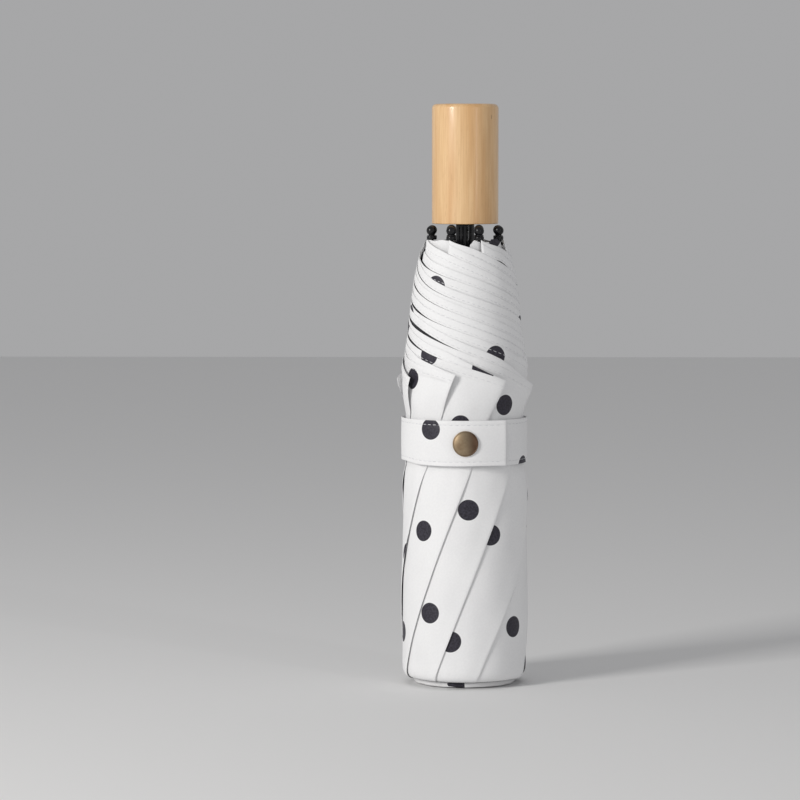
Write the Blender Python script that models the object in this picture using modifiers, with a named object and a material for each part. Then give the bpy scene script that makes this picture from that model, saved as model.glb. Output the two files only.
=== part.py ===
"""Folding umbrella, furled and strapped, standing on its crown end.

The shaft runs up +Z from the crown cap to the wooden handle. The origin is at the middle of
the crown's resting face. Azimuths are in degrees from the front (-Y), positive towards +X.
Ribs are drawn once in the X-Z plane, with X radial, and copied around the shaft.
"""
import math

import bmesh
import bpy
from mathutils import Matrix, Vector

# ---------------------------------------------------------------- driving dimensions (metres)
GAP = 0.0003                      # clearance between pieces that meet
EPS = 0.00005

OVERALL_HEIGHT = 0.297
HANDLE_DIAMETER = 0.034
HANDLE_LENGTH = 0.0611
HANDLE_EDGE = 0.0024
HANDLE_BORE_DIAMETER = 0.0140
HANDLE_BORE_DEPTH = 0.026

OUTER_TUBE_DIAMETER = 0.0095
TUBE_WALL = 0.0004
TUBE_FOOT_Z = 0.0060              # foot of the outer tube, above the crown cap
MID_TUBE_FOOT_Z = 0.045
INNER_TUBE_FOOT_Z = 0.048

RIB_COUNT = 8
FIRST_RIB_AZIMUTH = 22.5
CROWN_PIVOT_OFFSET = 0.00285      # from the shaft's surface to the ribs' ring wire
CROWN_PIVOT_Z = 0.0110
RUNNER_PIVOT_OFFSET = 0.00405
RUNNER_LENGTH = 0.0300
UPPER_ELBOW_DROP = 0.0030         # below the runner's ring wire
LOWER_ELBOW_Z = 0.0240
RIB_STACK = 0.0064                # from the notch's rim out to the lower elbow
STRETCHER_SHARE = 0.50            # where the stretcher meets the inner rib, along its length

INNER_RIB_WIDTH = 0.0038
MIDDLE_RIB_WIDTH = 0.0024
STRETCHER_WIDTH = 0.0052
CHANNEL_WALL = 0.0004
EYE_THICKNESS = 0.0009
EYE_RADIUS = 0.0013
RIVET_RADIUS = 0.00045
RING_WIRE_RADIUS = 0.00045
OUTER_RIB_RADIUS = 0.0008
OUTER_BLADE_HALF_WIDTH = 0.0007
OUTER_BLADE_LENGTH = 0.084

TIP_CIRCLE_RADIUS = 0.0184
TIP_BALL_RADIUS = 0.00255
TIP_BASE_DROP = 0.0080            # from the handle down to the tips' feet
TIP_LENGTH = 0.0072

HUB_SLOT_WIDTH = 0.0015
NOTCH_LUG = 0.0024                # from the ring wire out to the notch's rim
NOTCH_HEIGHT = 0.0100
RUNNER_LUG = 0.0018
RUNNER_FLANGE_HEIGHT = 0.0090
RUNNER_WALL = 0.0015
CROWN_CAP_RADIUS = 0.0130
CROWN_CAP_HEIGHT = 0.0043

CANOPY_RADIUS = 0.0323
CANOPY_BASE_INSET = 0.0067        # how far the tucked layer stands in from the bundle
CANOPY_LIP_HEIGHT = 0.0024        # the tucked layer that the umbrella rests on
HEM_CORNER_RISE = 0.0017          # how far the gores' corners stand out
HEM_CORNER_Z = 0.1555
MOUTH_DROP = 0.0006               # below the tips' feet
CLOTH_THICKNESS = 0.0010          # bunched cloth over the crown
WAIST_DEPTH = 0.00185             # how far the strap pulls the bundle in

STRAP_WIDTH = 0.0230
STRAP_BOTTOM_Z = 0.1141
STRAP_THICKNESS = 0.0008
STRAP_START_AZIMUTH = -30.0       # the end that lies under the tail
STRAP_HINGE_AZIMUTH = -50.0       # where the loose tail begins
STRAP_END_AZIMUTH = 38.6
STRAP_RISE = 0.0012               # how much the strap's spiral grows over its turn
TAIL_RISE = 0.00095

SNAP_AZIMUTH = 0.5
SNAP_CAP_RADIUS = 0.0065
SNAP_CAP_HEIGHT = 0.0016
SNAP_RIM_HEIGHT = 0.0005
SNAP_SOCKET_RADIUS = 0.0037
SNAP_BORE_RADIUS = 0.0021
STUD_FLANGE_RADIUS = 0.0040
STUD_FLANGE_THICKNESS = 0.00025
STUD_POST_RADIUS = 0.0017
STUD_REACH = 0.0010               # how far the post stands in the socket
STUD_RIVET_RADIUS = 0.0012

CATCH_THICKNESS = 0.0016
CATCH_Z = 0.0275
CATCH_HEIGHT = 0.0110
CATCH_NOSE = 0.00185              # how far the nose stands out of the tube
HANDLE_PIN_RADIUS = 0.0010

# ---------------------------------------------------------------- sizes that follow from them
HANDLE_FOOT_Z = OVERALL_HEIGHT - HANDLE_LENGTH
OUTER_TUBE_RADIUS = OUTER_TUBE_DIAMETER / 2
TIP_BASE_Z = HANDLE_FOOT_Z - TIP_BASE_DROP
MOUTH_Z = TIP_BASE_Z - MOUTH_DROP
RUNNER_TOP_Z = MOUTH_Z - 0.0025
RUNNER_FOOT_Z = RUNNER_TOP_Z - RUNNER_LENGTH
RUNNER_PIVOT_Z = RUNNER_FOOT_Z + RUNNER_FLANGE_HEIGHT / 2
RUNNER_PIVOT_RADIUS = OUTER_TUBE_RADIUS + RUNNER_PIVOT_OFFSET
RUNNER_FLANGE_RADIUS = RUNNER_PIVOT_RADIUS + RUNNER_LUG
CROWN_PIVOT_RADIUS = OUTER_TUBE_RADIUS + CROWN_PIVOT_OFFSET
NOTCH_RADIUS = CROWN_PIVOT_RADIUS + NOTCH_LUG
UPPER_ELBOW_RADIUS = RUNNER_FLANGE_RADIUS + 0.0020
UPPER_ELBOW_Z = RUNNER_PIVOT_Z - UPPER_ELBOW_DROP
LOWER_ELBOW_RADIUS = NOTCH_RADIUS + RIB_STACK
NOTCH_FOOT_Z = TUBE_FOOT_Z
CANOPY_BASE_RADIUS = CANOPY_RADIUS - CANOPY_BASE_INSET
HEM_CORNER_RADIUS = CANOPY_RADIUS + HEM_CORNER_RISE
OUTER_TUBE_TOP_Z = HANDLE_FOOT_Z - GAP
MID_TUBE_RADIUS = OUTER_TUBE_RADIUS - TUBE_WALL - GAP
MID_TUBE_TOP_Z = OUTER_TUBE_TOP_Z - 2 * GAP
INNER_TUBE_RADIUS = MID_TUBE_RADIUS - TUBE_WALL - GAP
HANDLE_BORE_TOP_Z = HANDLE_FOOT_Z + HANDLE_BORE_DEPTH
HANDLE_PIN_Z = HANDLE_FOOT_Z + HANDLE_BORE_DEPTH / 2
INSERT_RADIUS = HANDLE_BORE_DIAMETER / 2 - GAP
WAIST_RADIUS = CANOPY_RADIUS - WAIST_DEPTH
STRAP_TOP_Z = STRAP_BOTTOM_Z + STRAP_WIDTH
STRAP_MIDDLE_Z = STRAP_BOTTOM_Z + STRAP_WIDTH / 2
STRAP_TURN = 360.0 + STRAP_HINGE_AZIMUTH - STRAP_START_AZIMUTH
CAVITY_RADIUS = TIP_CIRCLE_RADIUS + OUTER_RIB_RADIUS + 0.0024
MOUTH_INNER_RADIUS = TIP_CIRCLE_RADIUS + OUTER_RIB_RADIUS + 0.0005
PIVOT_HOLE_RADIUS = RIVET_RADIUS + GAP

ROUND_STEPS = 40


# ---------------------------------------------------------------- general helpers
def clear_scene():
    for obj in list(bpy.data.objects):
        bpy.data.objects.remove(obj, do_unlink=True)


def new_collection(name):
    collection = bpy.data.collections.new(name)
    bpy.context.scene.collection.children.link(collection)
    return collection


def make_material(name, colour, roughness, metallic=0.0):
    material = bpy.data.materials.new(name)
    material.use_nodes = True
    shader = material.node_tree.nodes["Principled BSDF"]
    shader.inputs["Base Color"].default_value = (*colour, 1.0)
    shader.inputs["Roughness"].default_value = roughness
    shader.inputs["Metallic"].default_value = metallic
    material.diffuse_color = (*colour, 1.0)
    return material


def add_object(name, data, collection):
    obj = bpy.data.objects.new(name, data)
    collection.objects.link(obj)
    if collection is CUTTERS:
        obj.hide_render = True
        obj.display_type = "WIRE"
    return obj


def frozen_mesh(obj):
    """The object's evaluated mesh in world space, welded, with its faces pointing out."""
    bpy.context.view_layer.update()
    graph = bpy.context.evaluated_depsgraph_get()
    mesh = bpy.data.meshes.new_from_object(obj.evaluated_get(graph))
    mesh.transform(obj.matrix_world)
    shape = bmesh.new()
    shape.from_mesh(mesh)
    bmesh.ops.remove_doubles(shape, verts=shape.verts, dist=1e-7)
    bmesh.ops.recalc_face_normals(shape, faces=shape.faces)
    shape.to_mesh(mesh)
    shape.free()
    return mesh


def freeze(obj, name, collection):
    """Replace an object and its modifiers by one plain mesh object."""
    mesh = frozen_mesh(obj)
    tools = [modifier.object for modifier in obj.modifiers if modifier.type == "BOOLEAN"]
    bpy.data.objects.remove(obj, do_unlink=True)
    for tool in tools:
        bpy.data.objects.remove(tool, do_unlink=True)
    mesh.name = name
    return add_object(name, mesh, collection)


def combine(target, tool, operation):
    modifier = target.modifiers.new(f"{operation.lower()} {tool.name}", "BOOLEAN")
    modifier.operation = operation
    modifier.solver = "EXACT"
    modifier.object = tool


def finish(obj, material, smooth_angle=35.0):
    obj.data.materials.clear()
    obj.data.materials.append(material)
    obj.data.shade_smooth()
    obj.data.set_sharp_from_angle(angle=math.radians(smooth_angle))
    return obj


def azimuth_point(radius, azimuth, z=0.0):
    angle = math.radians(azimuth)
    return Vector((radius * math.sin(angle), -radius * math.cos(angle), z))


def about_shaft(azimuth):
    """Turns a piece drawn in the X-Z plane to an azimuth."""
    return Matrix.Rotation(math.radians(azimuth - 90.0), 4, "Z")


def turned(name, profile, collection, steps=ROUND_STEPS, closed=False):
    """A turned solid. The profile runs down its outer side, as (radius, z) points."""
    mesh = bpy.data.meshes.new(name)
    shape = bmesh.new()
    verts = [shape.verts.new((radius, 0.0, z)) for radius, z in profile]
    for first, second in zip(verts, verts[1:]):
        shape.edges.new((first, second))
    if closed:
        shape.edges.new((verts[-1], verts[0]))
    shape.to_mesh(mesh)
    shape.free()
    obj = add_object(name, mesh, collection)
    screw = obj.modifiers.new("turn", "SCREW")
    screw.axis = "Z"
    screw.steps = steps
    screw.render_steps = steps
    screw.use_merge_vertices = True
    screw.merge_threshold = 1e-6
    return freeze(obj, name, collection)


def plate(name, outline, thickness, collection, holes=()):
    """A flat outline in X-Y, given a thickness along Z, centred on the plane."""
    curve = bpy.data.curves.new(name, "CURVE")
    curve.dimensions = "2D"
    curve.fill_mode = "BOTH"
    curve.extrude = thickness / 2
    for points in (outline, *holes):
        spline = curve.splines.new("POLY")
        spline.points.add(len(points) - 1)
        for point, (x, y) in zip(spline.points, points):
            point.co = (x, y, 0.0, 1.0)
        spline.use_cyclic_u = True
    return freeze(add_object(f"{name} outline", curve, collection), name, collection)


def arc(centre, radius, start, end, steps):
    """Points on an arc in a plane, from one angle to another, in degrees."""
    points = []
    for step in range(steps + 1):
        angle = math.radians(start + (end - start) * step / steps)
        points.append((centre[0] + radius * math.cos(angle), centre[1] + radius * math.sin(angle)))
    return points


def cylinder(name, radius, depth, place, collection, segments=8):
    mesh = bpy.data.meshes.new(name)
    shape = bmesh.new()
    bmesh.ops.create_cone(shape, cap_ends=True, segments=segments, radius1=radius, radius2=radius,
                          depth=depth, matrix=place)
    shape.to_mesh(mesh)
    shape.free()
    return add_object(name, mesh, collection)


def ring(name, ring_radius, wire_radius, z, collection):
    bpy.ops.mesh.primitive_torus_add(major_segments=32, minor_segments=6,
                                     major_radius=ring_radius, minor_radius=wire_radius,
                                     location=(0.0, 0.0, z))
    return freeze(bpy.context.object, name, collection)


def box(name, low, high, place, collection):
    mesh = bpy.data.meshes.new(name)
    shape = bmesh.new()
    bmesh.ops.create_cube(shape, size=1.0)
    size = Vector(high) - Vector(low)
    middle = (Vector(high) + Vector(low)) / 2
    shape.transform(place @ Matrix.Translation(middle) @ Matrix.Diagonal((*size, 1.0)))
    shape.to_mesh(mesh)
    shape.free()
    return add_object(name, mesh, collection)


# ---------------------------------------------------------------- shaft
def tube(name, radius, foot_z, top_z, collection):
    bore = radius - TUBE_WALL
    profile = [(bore, top_z), (radius, top_z), (radius, foot_z), (bore, foot_z)]
    return turned(name, profile, collection, steps=24, closed=True)


def build_shaft():
    outer = tube("outer_tube", OUTER_TUBE_RADIUS, TUBE_FOOT_Z, OUTER_TUBE_TOP_Z, PARTS)
    half = CATCH_THICKNESS / 2 + GAP
    slot = box("catch slot", (0.0, -half, CATCH_Z - 4 * GAP),
               (OUTER_TUBE_RADIUS * 2, half, CATCH_Z + CATCH_HEIGHT + 4 * GAP),
               about_shaft(0.0), CUTTERS)
    combine(outer, slot, "DIFFERENCE")
    finish(freeze(outer, "outer_tube", PARTS), BLACK_STEEL)
    finish(tube("mid_tube", MID_TUBE_RADIUS, MID_TUBE_FOOT_Z, MID_TUBE_TOP_Z, PARTS), BLACK_STEEL)

    inner_top = HANDLE_BORE_TOP_Z - 0.002
    inner = tube("inner_tube", INNER_TUBE_RADIUS, INNER_TUBE_FOOT_Z, inner_top, PARTS)
    across = Matrix.Translation((0.0, 0.0, HANDLE_PIN_Z)) @ Matrix.Rotation(math.pi / 2, 4, "X")
    combine(inner, cylinder("pin hole", HANDLE_PIN_RADIUS + GAP, HANDLE_DIAMETER, across, CUTTERS),
            "DIFFERENCE")
    finish(freeze(inner, "inner_tube", PARTS), BLACK_STEEL)


def build_top_catch():
    """The bent leaf that holds the open runner: a ledge towards the crown, a ramp above it."""
    leg_in = OUTER_TUBE_RADIUS - TUBE_WALL - 0.0011
    leg_out = OUTER_TUBE_RADIUS - TUBE_WALL - GAP
    nose = OUTER_TUBE_RADIUS + CATCH_NOSE
    outline = [(leg_in, 0.0), (leg_out, 0.0), (leg_out, 0.0015), (nose, 0.0015), (nose, 0.0035),
               (leg_out, CATCH_HEIGHT), (leg_in, CATCH_HEIGHT)]
    catch = plate("top_catch", outline, CATCH_THICKNESS, PARTS)
    place = about_shaft(0.0) @ Matrix.Translation((0.0, 0.0, CATCH_Z))
    catch.data.transform(place @ Matrix.Rotation(math.pi / 2, 4, "X"))
    finish(catch, BRIGHT_STEEL)


# ---------------------------------------------------------------- crown
def build_crown_cap():
    post = OUTER_TUBE_RADIUS - TUBE_WALL - GAP
    rim = 0.0008
    profile = [(0.0, NOTCH_FOOT_Z + 0.003), (post, NOTCH_FOOT_Z + 0.003), (post, CROWN_CAP_HEIGHT),
               (CROWN_CAP_RADIUS - rim, CROWN_CAP_HEIGHT),
               (CROWN_CAP_RADIUS, CROWN_CAP_HEIGHT - rim), (CROWN_CAP_RADIUS, rim),
               (CROWN_CAP_RADIUS - rim, 0.0), (0.0, 0.0)]
    finish(turned("crown_cap", profile, PARTS, steps=32), BLACK_PLASTIC)


def slotted_hub(name, profile, pivot_radius, pivot_z, slot_low, slot_high, slot_depth):
    """A turned hub with one slot for each rib and a round tunnel for the ring wire."""
    hub = turned(name, profile, PARTS, steps=32, closed=True)
    for index in range(RIB_COUNT):
        place = about_shaft(FIRST_RIB_AZIMUTH + index * 360.0 / RIB_COUNT)
        slot = box(f"{name} slot", (slot_depth, -HUB_SLOT_WIDTH / 2, slot_low),
                   (RUNNER_FLANGE_RADIUS + NOTCH_RADIUS, HUB_SLOT_WIDTH / 2, slot_high),
                   place, CUTTERS)
        combine(hub, slot, "DIFFERENCE")
    hub = freeze(hub, name, PARTS)
    tunnel = ring(f"{name} tunnel", pivot_radius, RING_WIRE_RADIUS + GAP, pivot_z, CUTTERS)
    combine(hub, tunnel, "DIFFERENCE")
    return finish(freeze(hub, name, PARTS), BLACK_PLASTIC)


def build_hubs():
    bore = OUTER_TUBE_RADIUS + GAP
    slot_wall = EYE_RADIUS + 0.0004
    notch_top = NOTCH_FOOT_Z + NOTCH_HEIGHT
    notch = [(bore, notch_top), (NOTCH_RADIUS, notch_top), (NOTCH_RADIUS, NOTCH_FOOT_Z),
             (bore, NOTCH_FOOT_Z)]
    slotted_hub("notch", notch, CROWN_PIVOT_RADIUS, CROWN_PIVOT_Z,
                CROWN_PIVOT_Z - EYE_RADIUS - 0.001, notch_top + GAP,
                CROWN_PIVOT_RADIUS - slot_wall)
    finish(ring("notch_wire", CROWN_PIVOT_RADIUS, RING_WIRE_RADIUS, CROWN_PIVOT_Z, PARTS),
           BRIGHT_STEEL)

    foot = RUNNER_FOOT_Z
    neck = bore + RUNNER_WALL
    flare = neck + 0.0012
    flange_top = foot + RUNNER_FLANGE_HEIGHT
    runner = [(bore, RUNNER_TOP_Z), (flare, RUNNER_TOP_Z), (flare, RUNNER_TOP_Z - 0.0025),
              (neck, RUNNER_TOP_Z - 0.004), (neck, flange_top), (RUNNER_FLANGE_RADIUS, flange_top),
              (RUNNER_FLANGE_RADIUS, foot), (bore, foot)]
    slotted_hub("runner", runner, RUNNER_PIVOT_RADIUS, RUNNER_PIVOT_Z, foot - GAP,
                RUNNER_PIVOT_Z + EYE_RADIUS + 0.001, RUNNER_PIVOT_RADIUS - slot_wall)
    finish(ring("runner_wire", RUNNER_PIVOT_RADIUS, RING_WIRE_RADIUS, RUNNER_PIVOT_Z, PARTS),
           BRIGHT_STEEL)


# ---------------------------------------------------------------- ribs
def line_place(foot, head, share=0.0):
    """The frame of a rib drawn from (radius, z) foot to head: X is outwards, Z along the rib."""
    length = math.hypot(head[0] - foot[0], head[1] - foot[1])
    along = Vector(((head[0] - foot[0]) / length, 0.0, (head[1] - foot[1]) / length))
    outwards = Vector((along.z, 0.0, -along.x))
    start = Vector((foot[0], 0.0, foot[1])) + along * length * share
    turn = Matrix((outwards, Vector((0.0, 1.0, 0.0)), along)).transposed().to_4x4()
    return Matrix.Translation(start) @ turn, length


def channel(name, place, start, end, width, low, high):
    """A pressed U-channel along the rib, with its open side outwards."""
    wall = CHANNEL_WALL
    side = width / 2
    outline = [(low, -side), (high, -side), (high, -side + wall), (low + wall, -side + wall),
               (low + wall, side - wall), (high, side - wall), (high, side), (low, side)]
    obj = plate(name, outline, end - start, CUTTERS)
    obj.data.transform(place @ Matrix.Translation((0.0, 0.0, (start + end) / 2)))
    return obj


def eye_plate(name, place, eye_at, root_at, low, high, eye_radius, hole_radius):
    """A flat tongue on the rib's middle plane that ends in a round eye."""
    turn = 1.0 if root_at > eye_at else -1.0
    eye = arc((0.0, eye_at), eye_radius, 0.0, -180.0 * turn, 6)
    outline = [(high, root_at), *eye, (low, root_at)]
    holes = [arc((0.0, eye_at), hole_radius, 0.0, 315.0, 7)] if hole_radius else []
    obj = plate(name, outline, EYE_THICKNESS, CUTTERS, holes)
    obj.data.transform(place @ Matrix.Rotation(math.pi / 2, 4, "X"))
    return obj


def cross_pin(name, place, at, radius, depth, offset=0.0):
    spot = place @ Matrix.Translation((offset, 0.0, at)) @ Matrix.Rotation(math.pi / 2, 4, "X")
    return cylinder(name, radius, depth, spot, CUTTERS)


def copies_round_shaft(template, name, material):
    finish(template, material)
    for index in range(RIB_COUNT):
        rib = add_object(f"{name}_{index + 1}", template.data, PARTS)
        rib.matrix_world = about_shaft(FIRST_RIB_AZIMUTH + index * 360.0 / RIB_COUNT)
    bpy.data.objects.remove(template, do_unlink=True)


def build_ribs():
    crown = (CROWN_PIVOT_RADIUS, CROWN_PIVOT_Z)
    upper = (UPPER_ELBOW_RADIUS, UPPER_ELBOW_Z)
    lower = (LOWER_ELBOW_RADIUS, LOWER_ELBOW_Z)
    runner = (RUNNER_PIVOT_RADIUS, RUNNER_PIVOT_Z)
    link = (crown[0] + (upper[0] - crown[0]) * STRETCHER_SHARE,
            crown[1] + (upper[1] - crown[1]) * STRETCHER_SHARE)
    overrun = 0.0026
    rivet_hole = INNER_RIB_WIDTH + 0.002

    place, length = line_place(crown, upper)
    low, high = -0.0012, 0.0012
    inner = channel("inner rib", place, 0.0080, length + overrun, INNER_RIB_WIDTH, low, high)
    eye = eye_plate("crown eye", place, 0.0, 0.0130, low + EPS, 0.0008, EYE_RADIUS,
                    RING_WIRE_RADIUS + GAP)
    combine(inner, eye, "UNION")
    for at in (length, length * STRETCHER_SHARE):
        combine(inner, cross_pin("rib hole", place, at, PIVOT_HOLE_RADIUS, rivet_hole),
                "DIFFERENCE")
    copies_round_shaft(freeze(inner, "inner rib", CUTTERS), "inner_rib", PAINTED_STEEL)

    place, length = line_place(lower, upper)
    low, high = -0.00045, 0.0019
    outer_offset = low + CHANNEL_WALL + GAP + OUTER_BLADE_HALF_WIDTH
    middle = channel("middle rib", place, -overrun, length + overrun, MIDDLE_RIB_WIDTH, low, high)
    rivet = cross_pin("upper rivet", place, length, RIVET_RADIUS, INNER_RIB_WIDTH + 0.0008)
    combine(middle, rivet, "UNION")
    combine(middle, cross_pin("rib hole", place, 0.0, PIVOT_HOLE_RADIUS, rivet_hole,
                              outer_offset), "DIFFERENCE")
    copies_round_shaft(freeze(middle, "middle rib", CUTTERS), "middle_rib", PAINTED_STEEL)

    tip = (TIP_CIRCLE_RADIUS, TIP_BASE_Z + TIP_LENGTH * 0.4)
    place, length = line_place((lower[0] + outer_offset, lower[1]), tip)
    half = OUTER_BLADE_HALF_WIDTH
    blade = eye_plate("outer blade", place, 0.0, OUTER_BLADE_LENGTH, -half, half, half, 0.0)
    rivet = cross_pin("lower rivet", place, 0.0, RIVET_RADIUS, MIDDLE_RIB_WIDTH + 0.0008)
    rod_start = OUTER_BLADE_LENGTH - 0.004
    rod = cylinder("outer rod", OUTER_RIB_RADIUS, length - rod_start,
                   place @ Matrix.Translation((0.0, 0.0, (length + rod_start) / 2)), CUTTERS)
    combine(blade, rivet, "UNION")
    combine(blade, rod, "UNION")
    copies_round_shaft(freeze(blade, "outer rib", CUTTERS), "outer_rib", PAINTED_STEEL)

    place, length = line_place(link, runner)
    low, high = -0.0020, 0.0008
    bar = channel("stretcher", place, -0.0018, length - 0.0080, STRETCHER_WIDTH, low, high)
    eye = eye_plate("runner eye", place, length, length - 0.0130, low + EPS, 0.0006,
                    EYE_RADIUS, RING_WIRE_RADIUS + GAP)
    rivet = cross_pin("link rivet", place, 0.0, RIVET_RADIUS, STRETCHER_WIDTH)
    combine(bar, eye, "UNION")
    combine(bar, rivet, "UNION")
    copies_round_shaft(freeze(bar, "stretcher", CUTTERS), "stretcher", PAINTED_STEEL)


def build_rib_tips():
    """A moulded ball on a flared foot, bored for the end of the outer rib."""
    top = TIP_BASE_Z + TIP_LENGTH
    ball_z = top - TIP_BALL_RADIUS
    bore = OUTER_RIB_RADIUS + GAP
    bore_top = TIP_BASE_Z + TIP_LENGTH * 0.4 + 2 * GAP
    ball = arc((0.0, ball_z), TIP_BALL_RADIUS, 90.0, -50.0, 6)
    foot = [(TIP_BALL_RADIUS * 0.55, TIP_BASE_Z + 0.0021), (TIP_BALL_RADIUS * 0.65, TIP_BASE_Z + 0.0016),
            (TIP_BALL_RADIUS, TIP_BASE_Z + 0.0007), (TIP_BALL_RADIUS, TIP_BASE_Z),
            (bore, TIP_BASE_Z), (bore, bore_top), (0.0, bore_top)]
    profile = [(max(radius, 0.0), z) for radius, z in ball] + foot
    profile[0] = (0.0, top)
    tip = turned("rib tip", profile, CUTTERS, steps=12)
    tip.data.transform(Matrix.Translation((TIP_CIRCLE_RADIUS, 0.0, 0.0)))
    copies_round_shaft(tip, "rib_tip", BLACK_PLASTIC)


# ---------------------------------------------------------------- handle
def build_handle():
    radius = HANDLE_DIAMETER / 2
    edge = arc((radius - HANDLE_EDGE, OVERALL_HEIGHT - HANDLE_EDGE), HANDLE_EDGE, 90.0, 0.0, 5)
    bore = HANDLE_BORE_DIAMETER / 2
    profile = [(0.0, OVERALL_HEIGHT), *edge, (radius, HANDLE_FOOT_Z + GAP),
               (radius - GAP, HANDLE_FOOT_Z), (bore, HANDLE_FOOT_Z), (bore, HANDLE_BORE_TOP_Z),
               (0.0, HANDLE_BORE_TOP_Z)]
    finish(turned("handle", profile, PARTS), WOOD)

    insert_bore = INNER_TUBE_RADIUS + GAP
    foot, top = HANDLE_FOOT_Z + 2 * GAP, HANDLE_BORE_TOP_Z - GAP
    insert = turned("handle_insert", [(insert_bore, top), (INSERT_RADIUS, top),
                                      (INSERT_RADIUS, foot), (insert_bore, foot)],
                    PARTS, steps=32, closed=True)
    across = Matrix.Translation((0.0, 0.0, HANDLE_PIN_Z)) @ Matrix.Rotation(math.pi / 2, 4, "X")
    combine(insert, cylinder("pin hole", HANDLE_PIN_RADIUS + GAP, HANDLE_DIAMETER, across, CUTTERS),
            "DIFFERENCE")
    finish(freeze(insert, "handle_insert", PARTS), BLACK_PLASTIC)
    pin = cylinder("handle_pin", HANDLE_PIN_RADIUS, 2 * INSERT_RADIUS - 2 * GAP, across, PARTS,
                   segments=12)
    finish(pin, BRIGHT_STEEL)


# ---------------------------------------------------------------- canopy
def build_canopy():
    """The furled cloth as one hollow turned bundle, open at the mouth round the rib tips."""
    skirt_inner = CROWN_CAP_RADIUS + 2 * GAP
    shaft_hole = OUTER_TUBE_RADIUS + GAP
    floor_z = CROWN_CAP_HEIGHT + GAP
    shoulder_z = HEM_CORNER_Z + 0.004
    taper = CANOPY_RADIUS - MOUTH_INNER_RADIUS - 0.0008
    outer = []
    for step in range(8, 0, -1):
        share = step / 8
        radius = CANOPY_RADIUS - taper + taper * (1.0 - share) ** 0.72
        outer.append((radius, shoulder_z + (MOUTH_Z - shoulder_z) * share))
    outer += [(CANOPY_RADIUS, shoulder_z), (HEM_CORNER_RADIUS, HEM_CORNER_Z),
              (CANOPY_RADIUS, HEM_CORNER_Z - 0.008),
              (WAIST_RADIUS, STRAP_TOP_Z + 0.001), (WAIST_RADIUS, STRAP_BOTTOM_Z - 0.001),
              (CANOPY_RADIUS, STRAP_BOTTOM_Z - 0.016), (CANOPY_RADIUS, 0.0070),
              (CANOPY_RADIUS * 0.93, 0.0032), (CANOPY_BASE_RADIUS, CANOPY_LIP_HEIGHT),
              (CANOPY_BASE_RADIUS, 0.0)]
    inner = [(skirt_inner, 0.0), (skirt_inner, floor_z), (shaft_hole, floor_z),
             (shaft_hole, floor_z + CLOTH_THICKNESS), (CAVITY_RADIUS - 0.004, floor_z + CLOTH_THICKNESS),
             (CAVITY_RADIUS, floor_z + 0.006), (CAVITY_RADIUS, RUNNER_TOP_Z - 0.020),
             (MOUTH_INNER_RADIUS, MOUTH_Z - 0.004), (MOUTH_INNER_RADIUS, MOUTH_Z)]
    finish(turned("canopy", outer + inner, PARTS, closed=True), CLOTH)


# ---------------------------------------------------------------- strap and snap
def strap_radius(azimuth):
    """Inner radius of the strap's under-layer, which spirals out slightly round the bundle."""
    return WAIST_RADIUS + GAP + STRAP_RISE * (azimuth - STRAP_START_AZIMUTH) / STRAP_TURN


def tail_radius(azimuth):
    """Inner radius of the loose tail, which carries on from the band and lies over its start."""
    share = (azimuth - STRAP_HINGE_AZIMUTH) / (STRAP_END_AZIMUTH - STRAP_HINGE_AZIMUTH)
    return strap_radius(STRAP_HINGE_AZIMUTH + 360.0) + TAIL_RISE * share


def strap_strip(name, start, end, radius_at, steps):
    outside, inside = [], []
    for step in range(steps + 1):
        azimuth = start + (end - start) * step / steps
        inside.append(azimuth_point(radius_at(azimuth), azimuth).xy)
        outside.append(azimuth_point(radius_at(azimuth) + STRAP_THICKNESS, azimuth).xy)
    strip = plate(name, [tuple(point) for point in outside + inside[::-1]], STRAP_WIDTH, PARTS)
    strip.data.transform(Matrix.Translation((0.0, 0.0, STRAP_MIDDLE_Z)))
    return strip


def snap_place(radius):
    """A frame at the snap whose Z axis points straight out of the strap."""
    return (Matrix.Translation(azimuth_point(radius, SNAP_AZIMUTH, STRAP_MIDDLE_Z))
            @ about_shaft(SNAP_AZIMUTH) @ Matrix.Rotation(math.pi / 2, 4, "Y"))


def build_strap():
    face_gap = math.degrees(GAP / 2 / WAIST_RADIUS)
    band = strap_strip("strap_band", STRAP_START_AZIMUTH, STRAP_HINGE_AZIMUTH + 360.0 - face_gap,
                       strap_radius, 56)
    tail = strap_strip("strap_tail", STRAP_HINGE_AZIMUTH + face_gap, STRAP_END_AZIMUTH,
                       tail_radius, 18)
    rivet_hole = cylinder("rivet hole", STUD_RIVET_RADIUS + GAP, 0.006,
                          snap_place(strap_radius(SNAP_AZIMUTH)), CUTTERS, segments=12)
    socket_hole = cylinder("socket hole", SNAP_SOCKET_RADIUS + GAP, 0.006,
                           snap_place(tail_radius(SNAP_AZIMUTH)), CUTTERS, segments=16)
    combine(band, rivet_hole, "DIFFERENCE")
    combine(tail, socket_hole, "DIFFERENCE")
    finish(freeze(band, "strap_band", PARTS), CLOTH)
    return finish(freeze(tail, "strap_tail", PARTS), CLOTH)


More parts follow.
